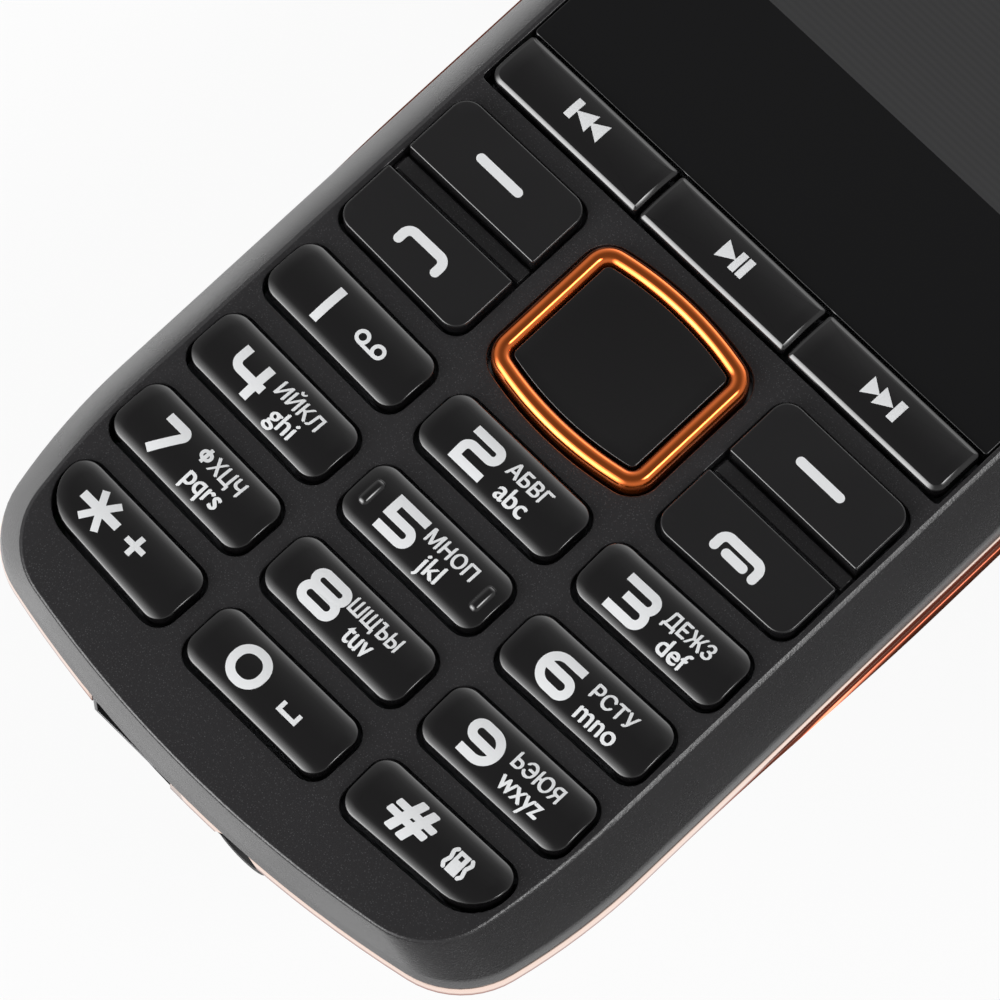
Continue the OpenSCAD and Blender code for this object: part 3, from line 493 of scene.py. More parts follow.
housing = bmesh.new()
edge_share = 1 - edge_round / (face_z - trim_top)
edge_ring, under_ring = slope_ring(1), slope_ring(edge_share)
flat_ring = [(x, y, face_z) for x, y in offset([p[:2] for p in edge_ring], -edge_round)]
wall_rings = [[(x, y, skirt_z) for x, y in casing_loop(shell_w - t, half_l - t, bend_r[0], corner_r[0])]
              for t in (skirt_fold, 0)]
wall_rings += [slope_ring(edge_share * i / slope_steps) for i in range(slope_steps + 1)]
wall_rings += [[bezier(a, b, c, t) for a, b, c in zip(under_ring, edge_ring, flat_ring)] for t in edge_steps]
face_rings = [loft(housing, wall_rings)[-1]]
holes = []
for i in range(len(number_keys)):
    holes.append([tuple((key_place(i) @ Vector((*p, 0))).xy) for p in key_opening(i)])
holes += [func_loop, mirrored(func_loop), offset(nav_loop, key_gap)]
holes.append(window_loop(media_y, window_high.y + glass_gap, glass_gap))
for hole in holes:
    face_rings.append(loft(housing, rim_rings(hole))[0])
fill(housing, face_rings)

strip_z = face_z - strip_depth
strip_gap, strip_cover, strip_side = 0.22, 0.1, 0.05
strip_round, strip_h = 0.12, 1.0
strip_end = [(0, 0.7), (0.2, 0.28), (0.32, 0.1), (0.48, 0)]
for side in (-1, 1):
    outer, inner = side * (pad_half + strip_side), side * (pad_half - func_w - strip_side)
    lower, upper = call_top + strip_gap, soft_y + key_gap - strip_cover
    ends = [(outer - side * t, strip_z - fall) for t, fall in strip_end]
    ends += [(inner + side * t, strip_z - fall) for t, fall in reversed(strip_end)]
    strip = []
    for x, z in ends:
        profile = [(lower, z - strip_h), (lower, z - strip_round), (lower + strip_round, z),
                   (upper - strip_round, z), (upper, z - strip_round), (upper, z - strip_h)]
        strip.append([housing.verts.new((x, y, h)) for y, h in profile])
    for a, b in zip(strip, strip[1:]):
        for i in range(len(a) - 1):
            housing.faces.new((a[i], a[i + 1], b[i + 1], b[i]))
casing_black = moulded_finish("casing_black", (0.0225, 0.0215, 0.023), (0.16, 0.16, 0.165), (0.24, 0.31),
                              7000, 0.32, 0.02, sparkle=0.5, ior=1.56, coat=0.12)
make_piece("front_housing_shell", housing, casing_black, "casing", "front_housing")


# Display window: one polished pane that fills the upper face, with a slot for the earpiece.
# It is clear plastic printed black from behind around the picture, and it is glued on the housing's seat.
pane_round, pane_wall = 0.12, 1.0
ear_w, ear_l, ear_in, ear_flat = 10.0, 1.2, 1.0, 0.05
ear_y = window_high.y - ear_l - ear_in
ear_r = ear_l / 2 - ear_flat
view_w, view_foot, view_head = 28.0, 12.4, 10.43
view_low, view_high = window_low.y + view_foot, window_high.y - view_head


def window_finish():
    """Polished black with the dark grey picture area, whose rows of dots show as fine lines."""
    material = bpy.data.materials.new("window_black")
    material.use_nodes = True
    tree = material.node_tree
    place = add_node(tree, "ShaderNodeTexCoord").outputs["Object"]
    axes = add_node(tree, "ShaderNodeSeparateXYZ", {"Vector": place}).outputs
    view_y, view_half = (view_high + view_low) / 2, (view_high - view_low) / 2
    across = add_node(tree, "ShaderNodeMath", {0: axes["X"], 1: 0, 2: view_w / 2 * MM}, operation="COMPARE")
    along = add_node(tree, "ShaderNodeMath", {0: axes["Y"], 1: view_y * MM, 2: view_half * MM},
                     operation="COMPARE")
    inside = add_node(tree, "ShaderNodeMath", {0: across.outputs["Value"], 1: along.outputs["Value"]},
                      operation="MULTIPLY")
    rows = add_node(tree, "ShaderNodeTexWave", {"Vector": place, "Scale": 700}, bands_direction="Y")
    picture = add_node(tree, "ShaderNodeMix", data_type="RGBA",
                       inputs={"Factor": rows.outputs["Fac"],
                               "A": (0.041, 0.041, 0.042, 1), "B": (0.045, 0.045, 0.046, 1)})
    colours = add_node(tree, "ShaderNodeMix", data_type="RGBA",
                       inputs={"Factor": inside.outputs["Value"],
                               "A": (0.004, 0.004, 0.0045, 1), "B": picture.outputs["Result"]})
    feed(tree, tree.nodes["Principled BSDF"],
         {"Base Color": colours.outputs["Result"], "Roughness": 0.06, "Coat Weight": 0.3})
    return material


pane = bmesh.new()
pane_steps = [(0, -pane_wall)]
for turn in (0, 0.5, 1.05, math.pi / 2):
    pane_steps.append((-pane_round * (1 - math.cos(turn)), pane_round * (math.sin(turn) - 1)))
pane_rings = stacked(window_loop(window_low.y, window_high.y, 0), pane_steps, face_z)
slot_corners = box_corners(-ear_w / 2, ear_y - ear_l / 2, ear_w / 2, ear_y + ear_l / 2)
slot_loop = rounded(slot_corners, [ear_r] * 4)
fill(pane, [loft(pane, pane_rings)[-1], loft(pane, rim_rings(slot_loop))[0]])
window_black = window_finish()
make_piece("display_window_pane", pane, window_black, "casing", "display_window")


# Number keys: twelve glossy black caps with a rounded back, moulded with a lip that keeps them in.
# The long edges roll down to a crisp lower edge; each cap stands just under a millimetre above the face.
key_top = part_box("key_2")[1].z / MM
key_crown = 0.4
key_roll = (0.9, 0.13, 2)
cap_lift, cap_edge, cap_step = 0.13, 0.07, 0.4
cap_deep = 0.9
cap_foot = face_z - cap_deep


def crowned(x, y):
    """Height of a number key's rounded back, about its own middle."""
    half = key_h / 2 - key_gap
    r = (half * half + key_crown * key_crown) / (2 * key_crown)
    return key_top - r + math.sqrt(r * r - y * y)


def add_cap(bm, loop, height, roll=(0.0, 0.0, 1), edge=cap_edge):
    """A key cap: upright wall, small edge radius, rolled rim and a top that follows a height."""
    reach, drop, power = roll
    reach = max(reach, edge)

    def ring(inset, extra=0.0):
        fall = drop * (1 - inset / reach) ** power + extra
        return [(x, y, height(x, y) - fall) for x, y in offset(loop, -inset)]

    rings = [[(x, y, cap_foot) for x, y in loop]]
    rings += [ring(edge * t * t, edge * (1 - t) ** 2) for t in (0, 0.25, 0.5, 0.75, 1)]
    if reach > edge:
        rings += [ring(mix(edge, reach, t)) for t in (0.15, 0.3, 0.45, 0.6, 0.75, 0.9, 1)]
    flat = offset(loop, -reach)
    middle = sum((Vector(p) for p in flat), Vector((0, 0))) / len(flat)
    for share in (0.85, 0.7, 0.55, 0.4, 0.25, 0.1):
        shrunk = [mix(middle, Vector(p), share) for p in flat]
        rings.append([(p.x, p.y, height(p.x, p.y)) for p in shrunk])
    last = loft(bm, rings)[-1]
    top = bm.verts.new((middle.x, middle.y, height(middle.x, middle.y)))
    for i, v in enumerate(last):
        bm.faces.new((last[i - 1], v, top))


gloss_key = moulded_finish("gloss_key", (0.007, 0.0066, 0.007), (0.013, 0.012, 0.013), (0.1, 0.15),
                           9000, 0.2, 0.0005, ior=1.6, coat=0.35)
for index, key in enumerate(number_keys):
    cap = bmesh.new()
    add_cap(cap, dense(offset(key_opening(index, cap_lift), -key_gap), cap_step), crowned, key_roll)
    make_piece(key + "_cap", cap, gloss_key, key, key, place=key_place(index))


# Guide bars on the middle key: two small upright bars by which a thumb finds the 5.
# They are moulded in one with the cap, near its two ends.
bar_w, bar_l, bar_h, bar_r = 0.75, 2.0, 0.2, 0.3
bar_x, bar_y, bar_step = 5.0, 0.05, 0.3
bar_steps = [(0.1, -0.1), (0, 0.05), (-0.08, 0.12), (-0.2, 0.18), (-0.3, bar_h)]
bars = bmesh.new()
for middle in (-bar_x, bar_x):
    corners = box_corners(middle - bar_w / 2, bar_y - bar_l / 2, middle + bar_w / 2, bar_y + bar_l / 2)
    loop = dense(rounded(corners, [bar_r] * 4), bar_step)
    rings = [[(x, y, crowned(x, y) + rise) for x, y in offset(loop, out)] for out, rise in bar_steps]
    fill(bars, [loft(bars, rings)[-1]])
bars_place = key_place(number_keys.index("key_5"))
make_piece("key_5_guide_bars", bars, gloss_key, "key_5", place=bars_place, sharp=60, like="key_5")


# Soft keys, call key and end key: four flat satin caps beside the navigation ring.
# They are moulded in black plastic with a fine grain, and a thin bright edge catches the light.
func_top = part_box("call_key")[1].z / MM
func_small_r, func_edge = 0.3, 0.16
satin_key = moulded_finish("satin_key", (0.0092, 0.0088, 0.0094), (0.016, 0.016, 0.017), (0.2, 0.26),
                           8000, 0.2, 0.0015, ior=1.6, coat=0.4)


def function_cap(corners, radii):
    """Outline of a cap inside the corners of its opening."""
    return rounded(offset(corners, -key_gap), [r - key_gap / 2 for r in radii])


def flat_top(x, y):
    """Height of the soft, call and end keys."""
    return func_top


soft_cap = function_cap(box_corners(*soft), (func_small_r, func_small_r, func_r, func_r))
call_corners = [func_corners[0], func_corners[1], (call[2], call_top), (call[0], call_top)]
call_cap = function_cap(call_corners, (func_r, func_r, func_small_r, func_small_r))
function_caps = {"softkey_left": soft_cap, "softkey_right": mirrored(soft_cap),
                 "call_key": call_cap, "end_key": mirrored(call_cap)}
for key, loop in function_caps.items():
    cap = bmesh.new()
    add_cap(cap, loop, flat_top, edge=func_edge)
    make_piece(key + "_cap", cap, satin_key, key, key)


# Media keys: three glossy caps side by side under the window, for previous, play and next.
# Their back is rounded like a long pillow that is highest below its middle.
media_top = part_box("media_key_play")[1].z / MM
media_crown_r, crown_share = 9.0, 0.4
media_seam, media_edge = 0.3, 0.08
media_roll = (0.32, 0.2, 1.15)
media_r, media_end_r = 0.3, 0.9
media_high = window_low.y
crown_y = mix(media_y, media_high, crown_share)


def pillow(x, y):
    """Height of the media keys' rounded back."""
    return media_top - media_crown_r + math.sqrt(media_crown_r ** 2 - (y - crown_y) ** 2)


play_low, play_high = [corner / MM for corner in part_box("media_key_play")]
media_edges = [key_gap - pad_half, play_low.x - media_seam, play_low.x,
               play_high.x, play_high.x + media_seam, pad_half - key_gap]
media_radii = [(media_end_r, media_r, media_r, media_r), (media_r,) * 4,
               (media_r, media_end_r, media_r, media_r)]
for i, key in enumerate(("media_key_previous", "media_key_play", "media_key_next")):
    cap = bmesh.new()
    corners = box_corners(media_edges[2 * i], media_y + key_gap, media_edges[2 * i + 1], media_high - key_gap)
    add_cap(cap, dense(rounded(corners, media_radii[i]), cap_step), pillow, media_roll, media_edge)
    make_piece(key + "_cap", cap, gloss_key, key, key)


# Navigation ring: a half-round band around the OK key that rocks four ways.
# It is moulded plastic plated in copper orange, polished like chrome.
ring_t, ring_wall = 1.35, 0.25
ring_rise = ring_high.z - face_z
ring_turns = [math.pi * i / 16 for i in range(17)]
orange_chrome = moulded_finish("orange_chrome", (1.0, 0.2, 0.022), (1.0, 0.26, 0.04), (0.06, 0.1),
                               5000, 0.2, 0.0005, metallic=0.95, coat=0.8)
ring = bmesh.new()
ring_steps = [(0, -cap_deep)]
for turn in ring_turns:
    rise = mix(ring_wall, ring_rise, math.sin(turn))
    ring_steps.append((ring_t / 2 * (math.cos(turn) - 1), rise))
ring_steps.append((-ring_t, -cap_deep))
loft(ring, stacked(nav_loop, ring_steps, face_z))
make_piece("nav_ring_band", ring, orange_chrome, "nav_ring", "nav_ring")


# OK key: the glossy black cap inside the ring, with a shallow hollow for the thumb.
# It has its own plunger and dome, so it presses down without the ring.
ok_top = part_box("ok_key")[1].z / MM
ok_dish, ok_edge, ok_step = 0.15, 0.12, 0.5
ok_loop = offset(nav_loop, -ring_t - key_gap / 2)


def dished(x, y):
    """Height of the OK key's hollow top."""
    half = nav_half.x - ring_t
    r = (half * half + ok_dish * ok_dish) / (2 * ok_dish)
    away = min(half * half, x * x + (y - nav_y) ** 2)
    return ok_top - ok_dish + r - math.sqrt(r * r - away)


ok_cap = bmesh.new()
add_cap(ok_cap, dense(ok_loop, ok_step), dished, edge=ok_edge)
make_piece("ok_key_cap", ok_cap, gloss_key, "ok_key", "ok_key")


# Key legends: digits, letter groups and plain symbols printed in white on the caps.
# The ink is a thin even layer that follows each cap's rounded back.
ink_lift, ink_t = 0.012, 0.02
ink_cut = 0.3
letter_bold = 0.034
digit_stroke = 0.62


def stroke_points(path, closed):
    """A stroke's centre line with its corners rounded; a point's third number is its corner radius."""
    points = []
    for i, p in enumerate(path):
        inner = closed or 0 < i < len(path) - 1
        radius = p[2] if inner and len(p) > 2 else 0
        points += fillet(path[i - 1], p, path[(i + 1) % len(path)], radius, 10) if inner else [p[:2]]
    return [Vector(p) for p in points]


def add_stroke(bm, path, width, closed=False, round_ends=False):
    """A flat band of even width along a path."""
    points = stroke_points(path, closed)
    count = len(points)
    left, right = [], []
    for i, p in enumerate(points):
        back = (p - points[i - 1]).normalized() if closed or i else (points[1] - p).normalized()
        ahead = (points[(i + 1) % count] - p).normalized() if closed or i < count - 1 else back
        n, m = Vector((-back.y, back.x)), Vector((-ahead.y, ahead.x))
        side = (n + m) / (1 + n.dot(m)) * (width / 2)
        left.append(bm.verts.new((*(p + side), 0)))
        right.append(bm.verts.new((*(p - side), 0)))
    for i in range(0 if closed else 1, count):
        bm.faces.new((right[i - 1], right[i], left[i], left[i - 1]))
    if round_ends:
        for p, a, b in ((points[0], left[0], right[0]), (points[-1], right[-1], left[-1])):
            arm = a.co.xy - p
            bend = [Matrix.Rotation(math.pi * k / 10, 2) @ arm for k in range(1, 10)]
            bm.faces.new([a] + [bm.verts.new((*(p + q), 0)) for q in bend] + [b])


def loop_path(x0, y0, x1, y1, r):
    """A closed path around a rectangle, with its corners rounded."""
    return [(x0, y1, r), (x1, y1, r), (x1, y0, r), (x0, y0, r)]


def shake_path(x, way):
    """The wavy line beside the shaking phone, which bends out to one side."""
    out = x + 0.17 * way
    return [(x, 0.82), (out, 0.6, 0.2), (x, 0.1, 0.3), (out, -0.4, 0.2), (x, -0.64)]


def add_patch(bm, points):
    """A flat filled polygon."""
    bm.faces.new([bm.verts.new((x, y, 0)) for x, y in points])


def turns_round(p, sides):
    """How many times the outlines' directed sides go round a point; not 0 means that it lies in a letter."""
    count = 0
    for a, b in sides:
        if (a.y <= p.y) != (b.y <= p.y):
            left_of = (b - a).cross(p - a) > 0
            if left_of == (a.y <= p.y):
                count += 1 if a.y <= p.y else -1
    return count


def add_letters(bm, letters, x0, x1, base, height):
    """A word set between two places on a base line; height is its capital or tallest letter.
    Two copies side by side along the diagonal make it bold."""
    words = bpy.data.curves.new("letters", "FONT")
    words.body = letters
    words.resolution_u = 5
    words.fill_mode = "NONE"
    holder = bpy.data.objects.new("letters", words)
    bpy.context.scene.collection.objects.link(holder)
    outline = bpy.data.meshes.new_from_object(holder.evaluated_get(bpy.context.evaluated_depsgraph_get()))
    bpy.data.objects.remove(holder)
    spots = [v.co.xy.copy() for v in outline.vertices]
    ends = [tuple(edge.vertices) for edge in outline.edges]
    bpy.data.meshes.remove(outline)
    left, right, tall = min(p.x for p in spots), max(p.x for p in spots), max(p.y for p in spots)
    placed = [Vector((mix(x0, x1, (p.x - left) / (right - left)), base + p.y * height / tall)) for p in spots]
    bold = Vector((letter_bold, letter_bold))
    corners = [p - bold for p in placed] + [p + bold for p in placed]
    sides = ends + [(a + len(placed), b + len(placed)) for a, b in ends]
    points, _, faces = delaunay_2d_cdt(corners, sides, [], 0, 1e-6)[:3]
    directed = [(placed[a], placed[b]) for a, b in ends]
    for face in faces:
        middle = sum((points[i] for i in face), Vector((0, 0))) / len(face)
        if turns_round(middle - bold, directed) or turns_round(middle + bold, directed):
            add_patch(bm, [points[i] for i in face])


def fuse(bm):
    """Turn overlapping flat patches into one sheet with nothing doubled."""
    bmesh.ops.triangulate(bm, faces=bm.faces)
    patches = [[v.co.xy.copy() for v in face.verts] for face in bm.faces]
    patches = [p for p in patches if abs((p[1] - p[0]).cross(p[2] - p[0])) > 1e-6]
    corners = [corner for patch in patches for corner in patch]
    sides = [(3 * i + k, 3 * i + (k + 1) % 3) for i in range(len(patches)) for k in range(3)]
    points, _, faces = delaunay_2d_cdt(corners, sides, [], 0, 1e-5)[:3]
    bm.clear()
    made = [bm.verts.new((*p, 0)) for p in points]
    for face in faces:
        middle = sum((points[i] for i in face), Vector((0, 0))) / len(face)
        if any(intersect_point_tri_2d(middle, *patch) for patch in patches):
            bm.faces.new([made[i] for i in face])
    bmesh.ops.delete(bm, geom=[v for v in bm.verts if not v.link_faces], context="VERTS")


legend_white = moulded_finish("legend_white", (0.8, 0.81, 0.82), (0.84, 0.85, 0.86), (0.45, 0.55),
                              9000, 0.3, 0.001)


def make_legend(key, bm, height, place=None):
    """Lay a flat legend on a cap's top and let it ride with the key."""
    fuse(bm)
    low, high = min(v.co.y for v in bm.verts), max(v.co.y for v in bm.verts)
    for i in range(1, math.ceil((high - low) / ink_cut)):
        everything = [*bm.verts, *bm.edges, *bm.faces]
        bmesh.ops.bisect_plane(bm, geom=everything, plane_co=(0, low + i * ink_cut, 0), plane_no=(0, 1, 0))
    for v in bm.verts:
        v.co.z = height(v.co.x, v.co.y) + ink_lift
    piece = make_piece("legend_" + key, bm, legend_white, key, place=place)
    piece.data.shade_flat()
    layer = piece.modifiers.new("ink", "SOLIDIFY")
    layer.thickness = ink_t * MM
    layer.offset = 1


digits = {
    "key_1": [[(-1.9, 1.27), (-1.9, -1.53)]],
    "key_2": [[(-3.37, 0.97), (-0.88, 0.97, 0.47), (-0.88, -0.01, 0.47), (-3.13, -0.01, 0.5),
               (-3.13, -1.25), (-0.77, -1.25)]],
    "key_3": [[(-3.62, 0.86), (-0.97, 0.83, 0.53), (-0.97, -0.27, 0.53), (-3.0, -0.25)],
              [(-2.0, -0.26), (-0.97, -0.27, 0.58), (-0.97, -1.45, 0.58), (-3.65, -1.42)]],
    "key_4": [[(-3.24, 1.06), (-3.24, -0.43, 0.55), (-0.6, -0.4)], [(-1.23, 1.05), (-1.23, -1.6)]],
    "key_5": [[(-0.82, 1.0), (-3.24, 1.0), (-3.24, -0.1), (-0.99, -0.1, 0.51),
               (-0.99, -1.15, 0.51), (-3.42, -1.15)]],
    "key_6": [[(-0.87, 0.9), (-3.4, 0.93, 1.07), (-3.4, -1.25, 1.07), (-0.95, -1.3, 0.58),
               (-0.95, -0.12, 0.58), (-3.1, -0.08)]],
    "key_7": [[(-3.58, 0.96), (-1.6, 1.0, 0.3), (-3.05, -1.53)]],
    "key_8": [loop_path(-3.39, 0.05, -0.95, 1.05, 0.49), loop_path(-3.44, -1.15, -0.9, -0.05, 0.54)],
    "key_9": [[(-3.35, -1.05), (-1.1, -1.1, 1.07), (-1.1, 1.08, 1.07), (-3.42, 1.12, 0.56),
               (-3.42, -0.02, 0.56), (-1.27, -0.08)]],
    "key_star": [[(-3.65, 0.27), (-0.43, 0.32)]],
    "key_0": [loop_path(-3.22, -1.11, -0.92, 1.19, 1.06)],
    "key_hash": [],
}
letter_groups = {
    "key_2": (("АБВГ", -0.02, 3.38, 0.2, 1.1), ("abc", 0.48, 2.83, -1.45, 1.3)),
    "key_3": (("ДЕЖЗ", -0.07, 3.78, 0.03, 1.13), ("def", 0.78, 3.03, -1.65, 1.3)),
    "key_4": (("ИЙКЛ", -0.07, 3.68, 0.1, 1.4), ("ghi", 0.82, 2.87, -1.51, 1.3)),
    "key_5": (("МНОП", -0.42, 3.63, 0.18, 1.1), ("jkl", 0.53, 2.13, -1.5, 1.3)),
    "key_6": (("РСТУ", 0.13, 3.63, 0.1, 1.1), ("mno", 0.29, 3.39, -1.55, 0.9)),
    "key_7": (("ХЦЧ", 0.64, 3.32, 0.3, 1.15), ("pqrs", 0.07, 2.97, -1.35, 0.9)),
    "key_8": (("ШЩЪЫ", -0.52, 3.63, 0.3, 1.1), ("tuv", 0.53, 2.58, -1.35, 1.15)),
    "key_9": (("ЬЭЮЯ", -0.11, 3.74, 0.25, 1.15), ("wxyz", 0.09, 3.49, -1.35, 0.9)),
}
closed_digits = ("key_8", "key_0")
reel_x, reel_r = (1.25, 2.68), 0.4
reel_stroke, shake_stroke, hash_r = 0.26, 0.27, 0.12
symbol_strokes = {
    "key_1": [(loop_path(x - reel_r, -0.44, x + reel_r, 0.36, 0.39), reel_stroke, True) for x in reel_x]
             + [([(x, -0.46) for x in reel_x], 0.24)],
    "key_7": [(loop_path(-0.33, 0.6, 0.37, 1.14, 0.25), 0.24, True), ([(0.02, 1.45), (0.02, 0.3)], 0.26)],
    "key_star": [([(-2.76, 1.46), (-1.29, -0.97)], 0.5), ([(-1.29, 1.47), (-2.78, -0.95)], 0.5),
                 ([(0.42, 0.26), (2.02, 0.3)], 0.4), ([(1.22, 1.05), (1.24, -0.48)], 0.4)],
    "key_0": [([(1.23, 0.1), (1.23, -0.55), (2.58, -0.55), (2.58, 0.1)], 0.3)],
    "key_hash": [(shake_path(x, way), shake_stroke, False, True) for x, way in ((1.63, -1), (2.85, 1))],
}
hash_bars = [[(-3.01, -1.21), (-2.33, -1.23), (-1.5, 1.52), (-2.13, 1.54)],
             [(-2.03, -1.24), (-1.36, -1.26), (-0.53, 1.49), (-1.19, 1.51)],
             [(-3.38, 0.27), (-0.21, 0.23), (-0.07, 0.73), (-3.27, 0.77)],
             [(-3.55, -0.41), (-0.38, -0.46), (-0.27, 0.05), (-3.45, 0.1)]]
shaking_phone = [(1.82, -0.75, 2.07, 0.91), (2.35, -0.75, 2.66, 0.91),
                 (2.0, -0.75, 2.4, 0.28), (2.0, 0.64, 2.4, 0.91)]
hash_patches = [rounded(bar, [hash_r] * 4) for bar in hash_bars]
hash_patches += [box_corners(*block) for block in shaking_phone]
for index, key in enumerate(number_keys):
    print_mesh = bmesh.new()
    for path in digits[key]:
        add_stroke(print_mesh, path, digit_stroke, key in closed_digits)
    for group in letter_groups.get(key, ()):
        add_letters(print_mesh, *group)
    for patch in hash_patches if key == "key_hash" else ():
        add_patch(print_mesh, patch)
    for stroke in symbol_strokes.get(key, ()):
        add_stroke(print_mesh, *stroke)
    make_legend(key, print_mesh, crowned, key_place(index))

bar_stroke = 0.67
arch_r = 0.56
function_prints = {
    "softkey_left": [[(-1.77, 0.08), (1.57, 0.08)]],
    "softkey_right": [[(-1.87, 0.04), (1.57, 0.04)]],
    "call_key": [[(-1.6, -0.55), (-1.6, 0.45, arch_r), (1.74, 0.45, arch_r), (1.74, -0.55)]],
    "end_key": [[(-1.84, -0.8), (-1.84, 0.23, arch_r), (1.5, 0.23, arch_r), (1.5, -0.8)],
                [(-0.87, -0.71), (0.56, -0.71)]],
}
for key, paths in function_prints.items():
    middle = key_middle(key)
    print_mesh = bmesh.new()
    for path in paths:
        placed = [(p[0] + middle.x, p[1] + middle.y, *p[2:]) for p in path]
        add_stroke(print_mesh, placed, bar_stroke, round_ends=True)
    make_legend(key, print_mesh, flat_top)

media_low, media_tall = -0.57, 0.96
media_bars = {"media_key_previous": [(-1.35, -0.8)], "media_key_play": [(0.03, 0.53), (0.68, 1.18)],
              "media_key_next": [(0.72, 1.32)]}
media_arrows = {"media_key_previous": [(0.5, -0.85), (1.55, 0.35)], "media_key_play": [(-1.17, 0.08)],
                "media_key_next": [(-1.63, -0.53), (-0.58, 0.67)]}
for i, (key, bars_x) in enumerate(media_bars.items()):
    middle = Vector(((media_edges[2 * i] + media_edges[2 * i + 1]) / 2, (media_y + media_high) / 2))
    patches = [box_corners(x0, media_low, x1, media_tall) for x0, x1 in bars_x]
    for base, tip in media_arrows[key]:
        patches.append([(base, media_low), (tip, (media_low + media_tall) / 2), (base, media_tall)])
    print_mesh = bmesh.new()
    for patch in patches:
        add_patch(print_mesh, [(x + middle.x, y + middle.y) for x, y in patch])
    make_legend(key, print_mesh, pillow)


# Trim band: the bright line around the phone between the front housing and the battery cover.
# It is a moulded hoop plated in pale copper, snapped over the rear housing's wall under the housing's skirt.
trim_t, trim_bulge = 1.3, 0.1
trim_gap, trim_foot, trim_shoulder = 0.06, 0.1, 0.03
ledge_w, ledge_from, ledge_to = 0.52, 14.0, 36.0
ledge_h, ledge_round, ledge_heel = 0.2, 0.06, 0.2
trim_step = 2.0
ledge_fade, wall_foot = [(0.5, 0), (0.2, 0.08), (0.05, 0.25)], 0.4
# Heights above the trim's foot where the painted shade along the ledge starts and where it is full.
painted_shade_from, painted_shade_full = 0.75, 0.4
port_gap, port_out, port_deep, jack_r = 0.1, 2.0, 6.0, 1.9


def copper_finish():
    """Polished copper plating with painted shade: its colour turns dark brown towards the foot along the
    ledge, standing in for the shadowed floor that the trim's lower part reflects.
    """
    material = moulded_finish("copper_chrome", (0.97, 0.75, 0.65), (0.98, 0.78, 0.69), (0.1, 0.16),
                              5000, 0.2, 0.0005, metallic=1.0)
    tree = material.node_tree
    colour = tree.nodes["Principled BSDF"].inputs["Base Color"]
    place = add_node(tree, "ShaderNodeTexCoord").outputs["Object"]
    height = add_node(tree, "ShaderNodeSeparateXYZ", {"Vector": place}).outputs["Z"]
    # Painted shade: the colour is mixed towards dark brown as the trim goes down to its foot.
    depth = add_node(tree, "ShaderNodeMapRange", {"Value": height, "From Min": (trim_z + painted_shade_from) * MM,
                                                  "From Max": (trim_z + painted_shade_full) * MM})
    painted_shade = add_node(tree, "ShaderNodeMix", data_type="RGBA",
                    inputs={"Factor": depth.outputs["Result"], "A": colour.links[0].from_socket,
                            "B": (0.3, 0.08, 0.045, 1)})
    tree.links.new(painted_shade.outputs["Result"], colour)
    return material


copper_chrome = copper_finish()


def add_block(bm, x0, y0, z0, x1, y1, z1):
    """A closed block between two corners."""
    made = bmesh.ops.create_cube(bm, size=1)["verts"]
    bmesh.ops.scale(bm, vec=(x1 - x0, y1 - y0, z1 - z0), verts=made)
    bmesh.ops.translate(bm, vec=((x0 + x1) / 2, (y0 + y1) / 2, (z0 + z1) / 2), verts=made)


def add_rod(bm, r, length, place, sides=48):
    """A closed round rod about the middle of a place, along its Z axis."""
    bmesh.ops.create_cone(bm, cap_ends=True, segments=sides, radius1=r, radius2=r, depth=length, matrix=place)


def cut(piece, cutter):
    """Cut a solid out of a piece and throw the solid away."""
    knife = piece.modifiers.new("cut", "BOOLEAN")
    knife.object = cutter
    knife.solver = "EXACT"
    bpy.context.view_layer.update()
    shaped = bpy.data.meshes.new_from_object(piece.evaluated_get(bpy.context.evaluated_depsgraph_get()))
    piece.modifiers.remove(knife)
    piece.data = shaped
    bpy.data.objects.remove(cutter)
    piece.data.set_sharp_from_angle(angle=math.radians(sharp_turn))


usb_low, usb_high = [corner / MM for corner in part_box("usb_socket")]
jack_low, jack_high = [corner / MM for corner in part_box("audio_socket")]


def port_cutter():
    """A hidden solid for the openings of the charging and audio sockets."""
    bm = bmesh.new()
    add_block(bm, usb_low.x - port_gap, -half_l - port_out, usb_low.z - port_gap,
              usb_high.x + port_gap, usb_low.y + port_deep, usb_high.z + port_gap)
    at = Vector(((jack_low.x + jack_high.x) / 2, -half_l, (jack_low.z + jack_high.z) / 2))
    add_rod(bm, jack_r, port_deep, Matrix.Translation(at) @ Matrix.Rotation(math.pi / 2, 4, "X"))
    return mesh_object("port_cutter", bm)


band = bmesh.new()
band_low, band_high = trim_z + trim_foot, skirt_z - trim_gap
casing_line = dense(casing_loop(half_w, half_l, bend_r[0], corner_r[0]), trim_step)


def ledge(y):
    """How far the foot of the trim reaches out, full along the middle and run out towards the ends."""
    return ledge_w * ease(-abs(y), -ledge_to, -ledge_from)


def band_ring(out, share, z):
    """Ring of the trim at a height, moved out by a fixed part and a share of the ledge."""
    ring_points = []
    for p, q in zip(casing_line, offset(casing_line, 1)):
        t = out + share * ledge(p[1])
        ring_points.append((mix(p[0], q[0], t), mix(p[1], q[1], t), z))
    return ring_points


ledge_top = band_low + ledge_h
profile = [(-trim_t, 0, band_low), (-ledge_heel, 1, band_low), (0, 1, ledge_top - ledge_round)]
profile += [(0, share, ledge_top + rise) for share, rise in ledge_fade]
profile += [(-trim_bulge * (i / 6) ** 2, 0, mix(ledge_top + wall_foot, band_high, i / 6)) for i in range(7)]
shoulder_z = band_high + trim_shoulder
profile += [(-trim_bulge - trim_shoulder, 0, shoulder_z), (-trim_t, 0, shoulder_z)]
loft(band, [band_ring(*step) for step in profile], closed=True)
trim = make_piece("trim_band_hoop", band, copper_chrome, "casing", "trim_band")
cut(trim, port_cutter())


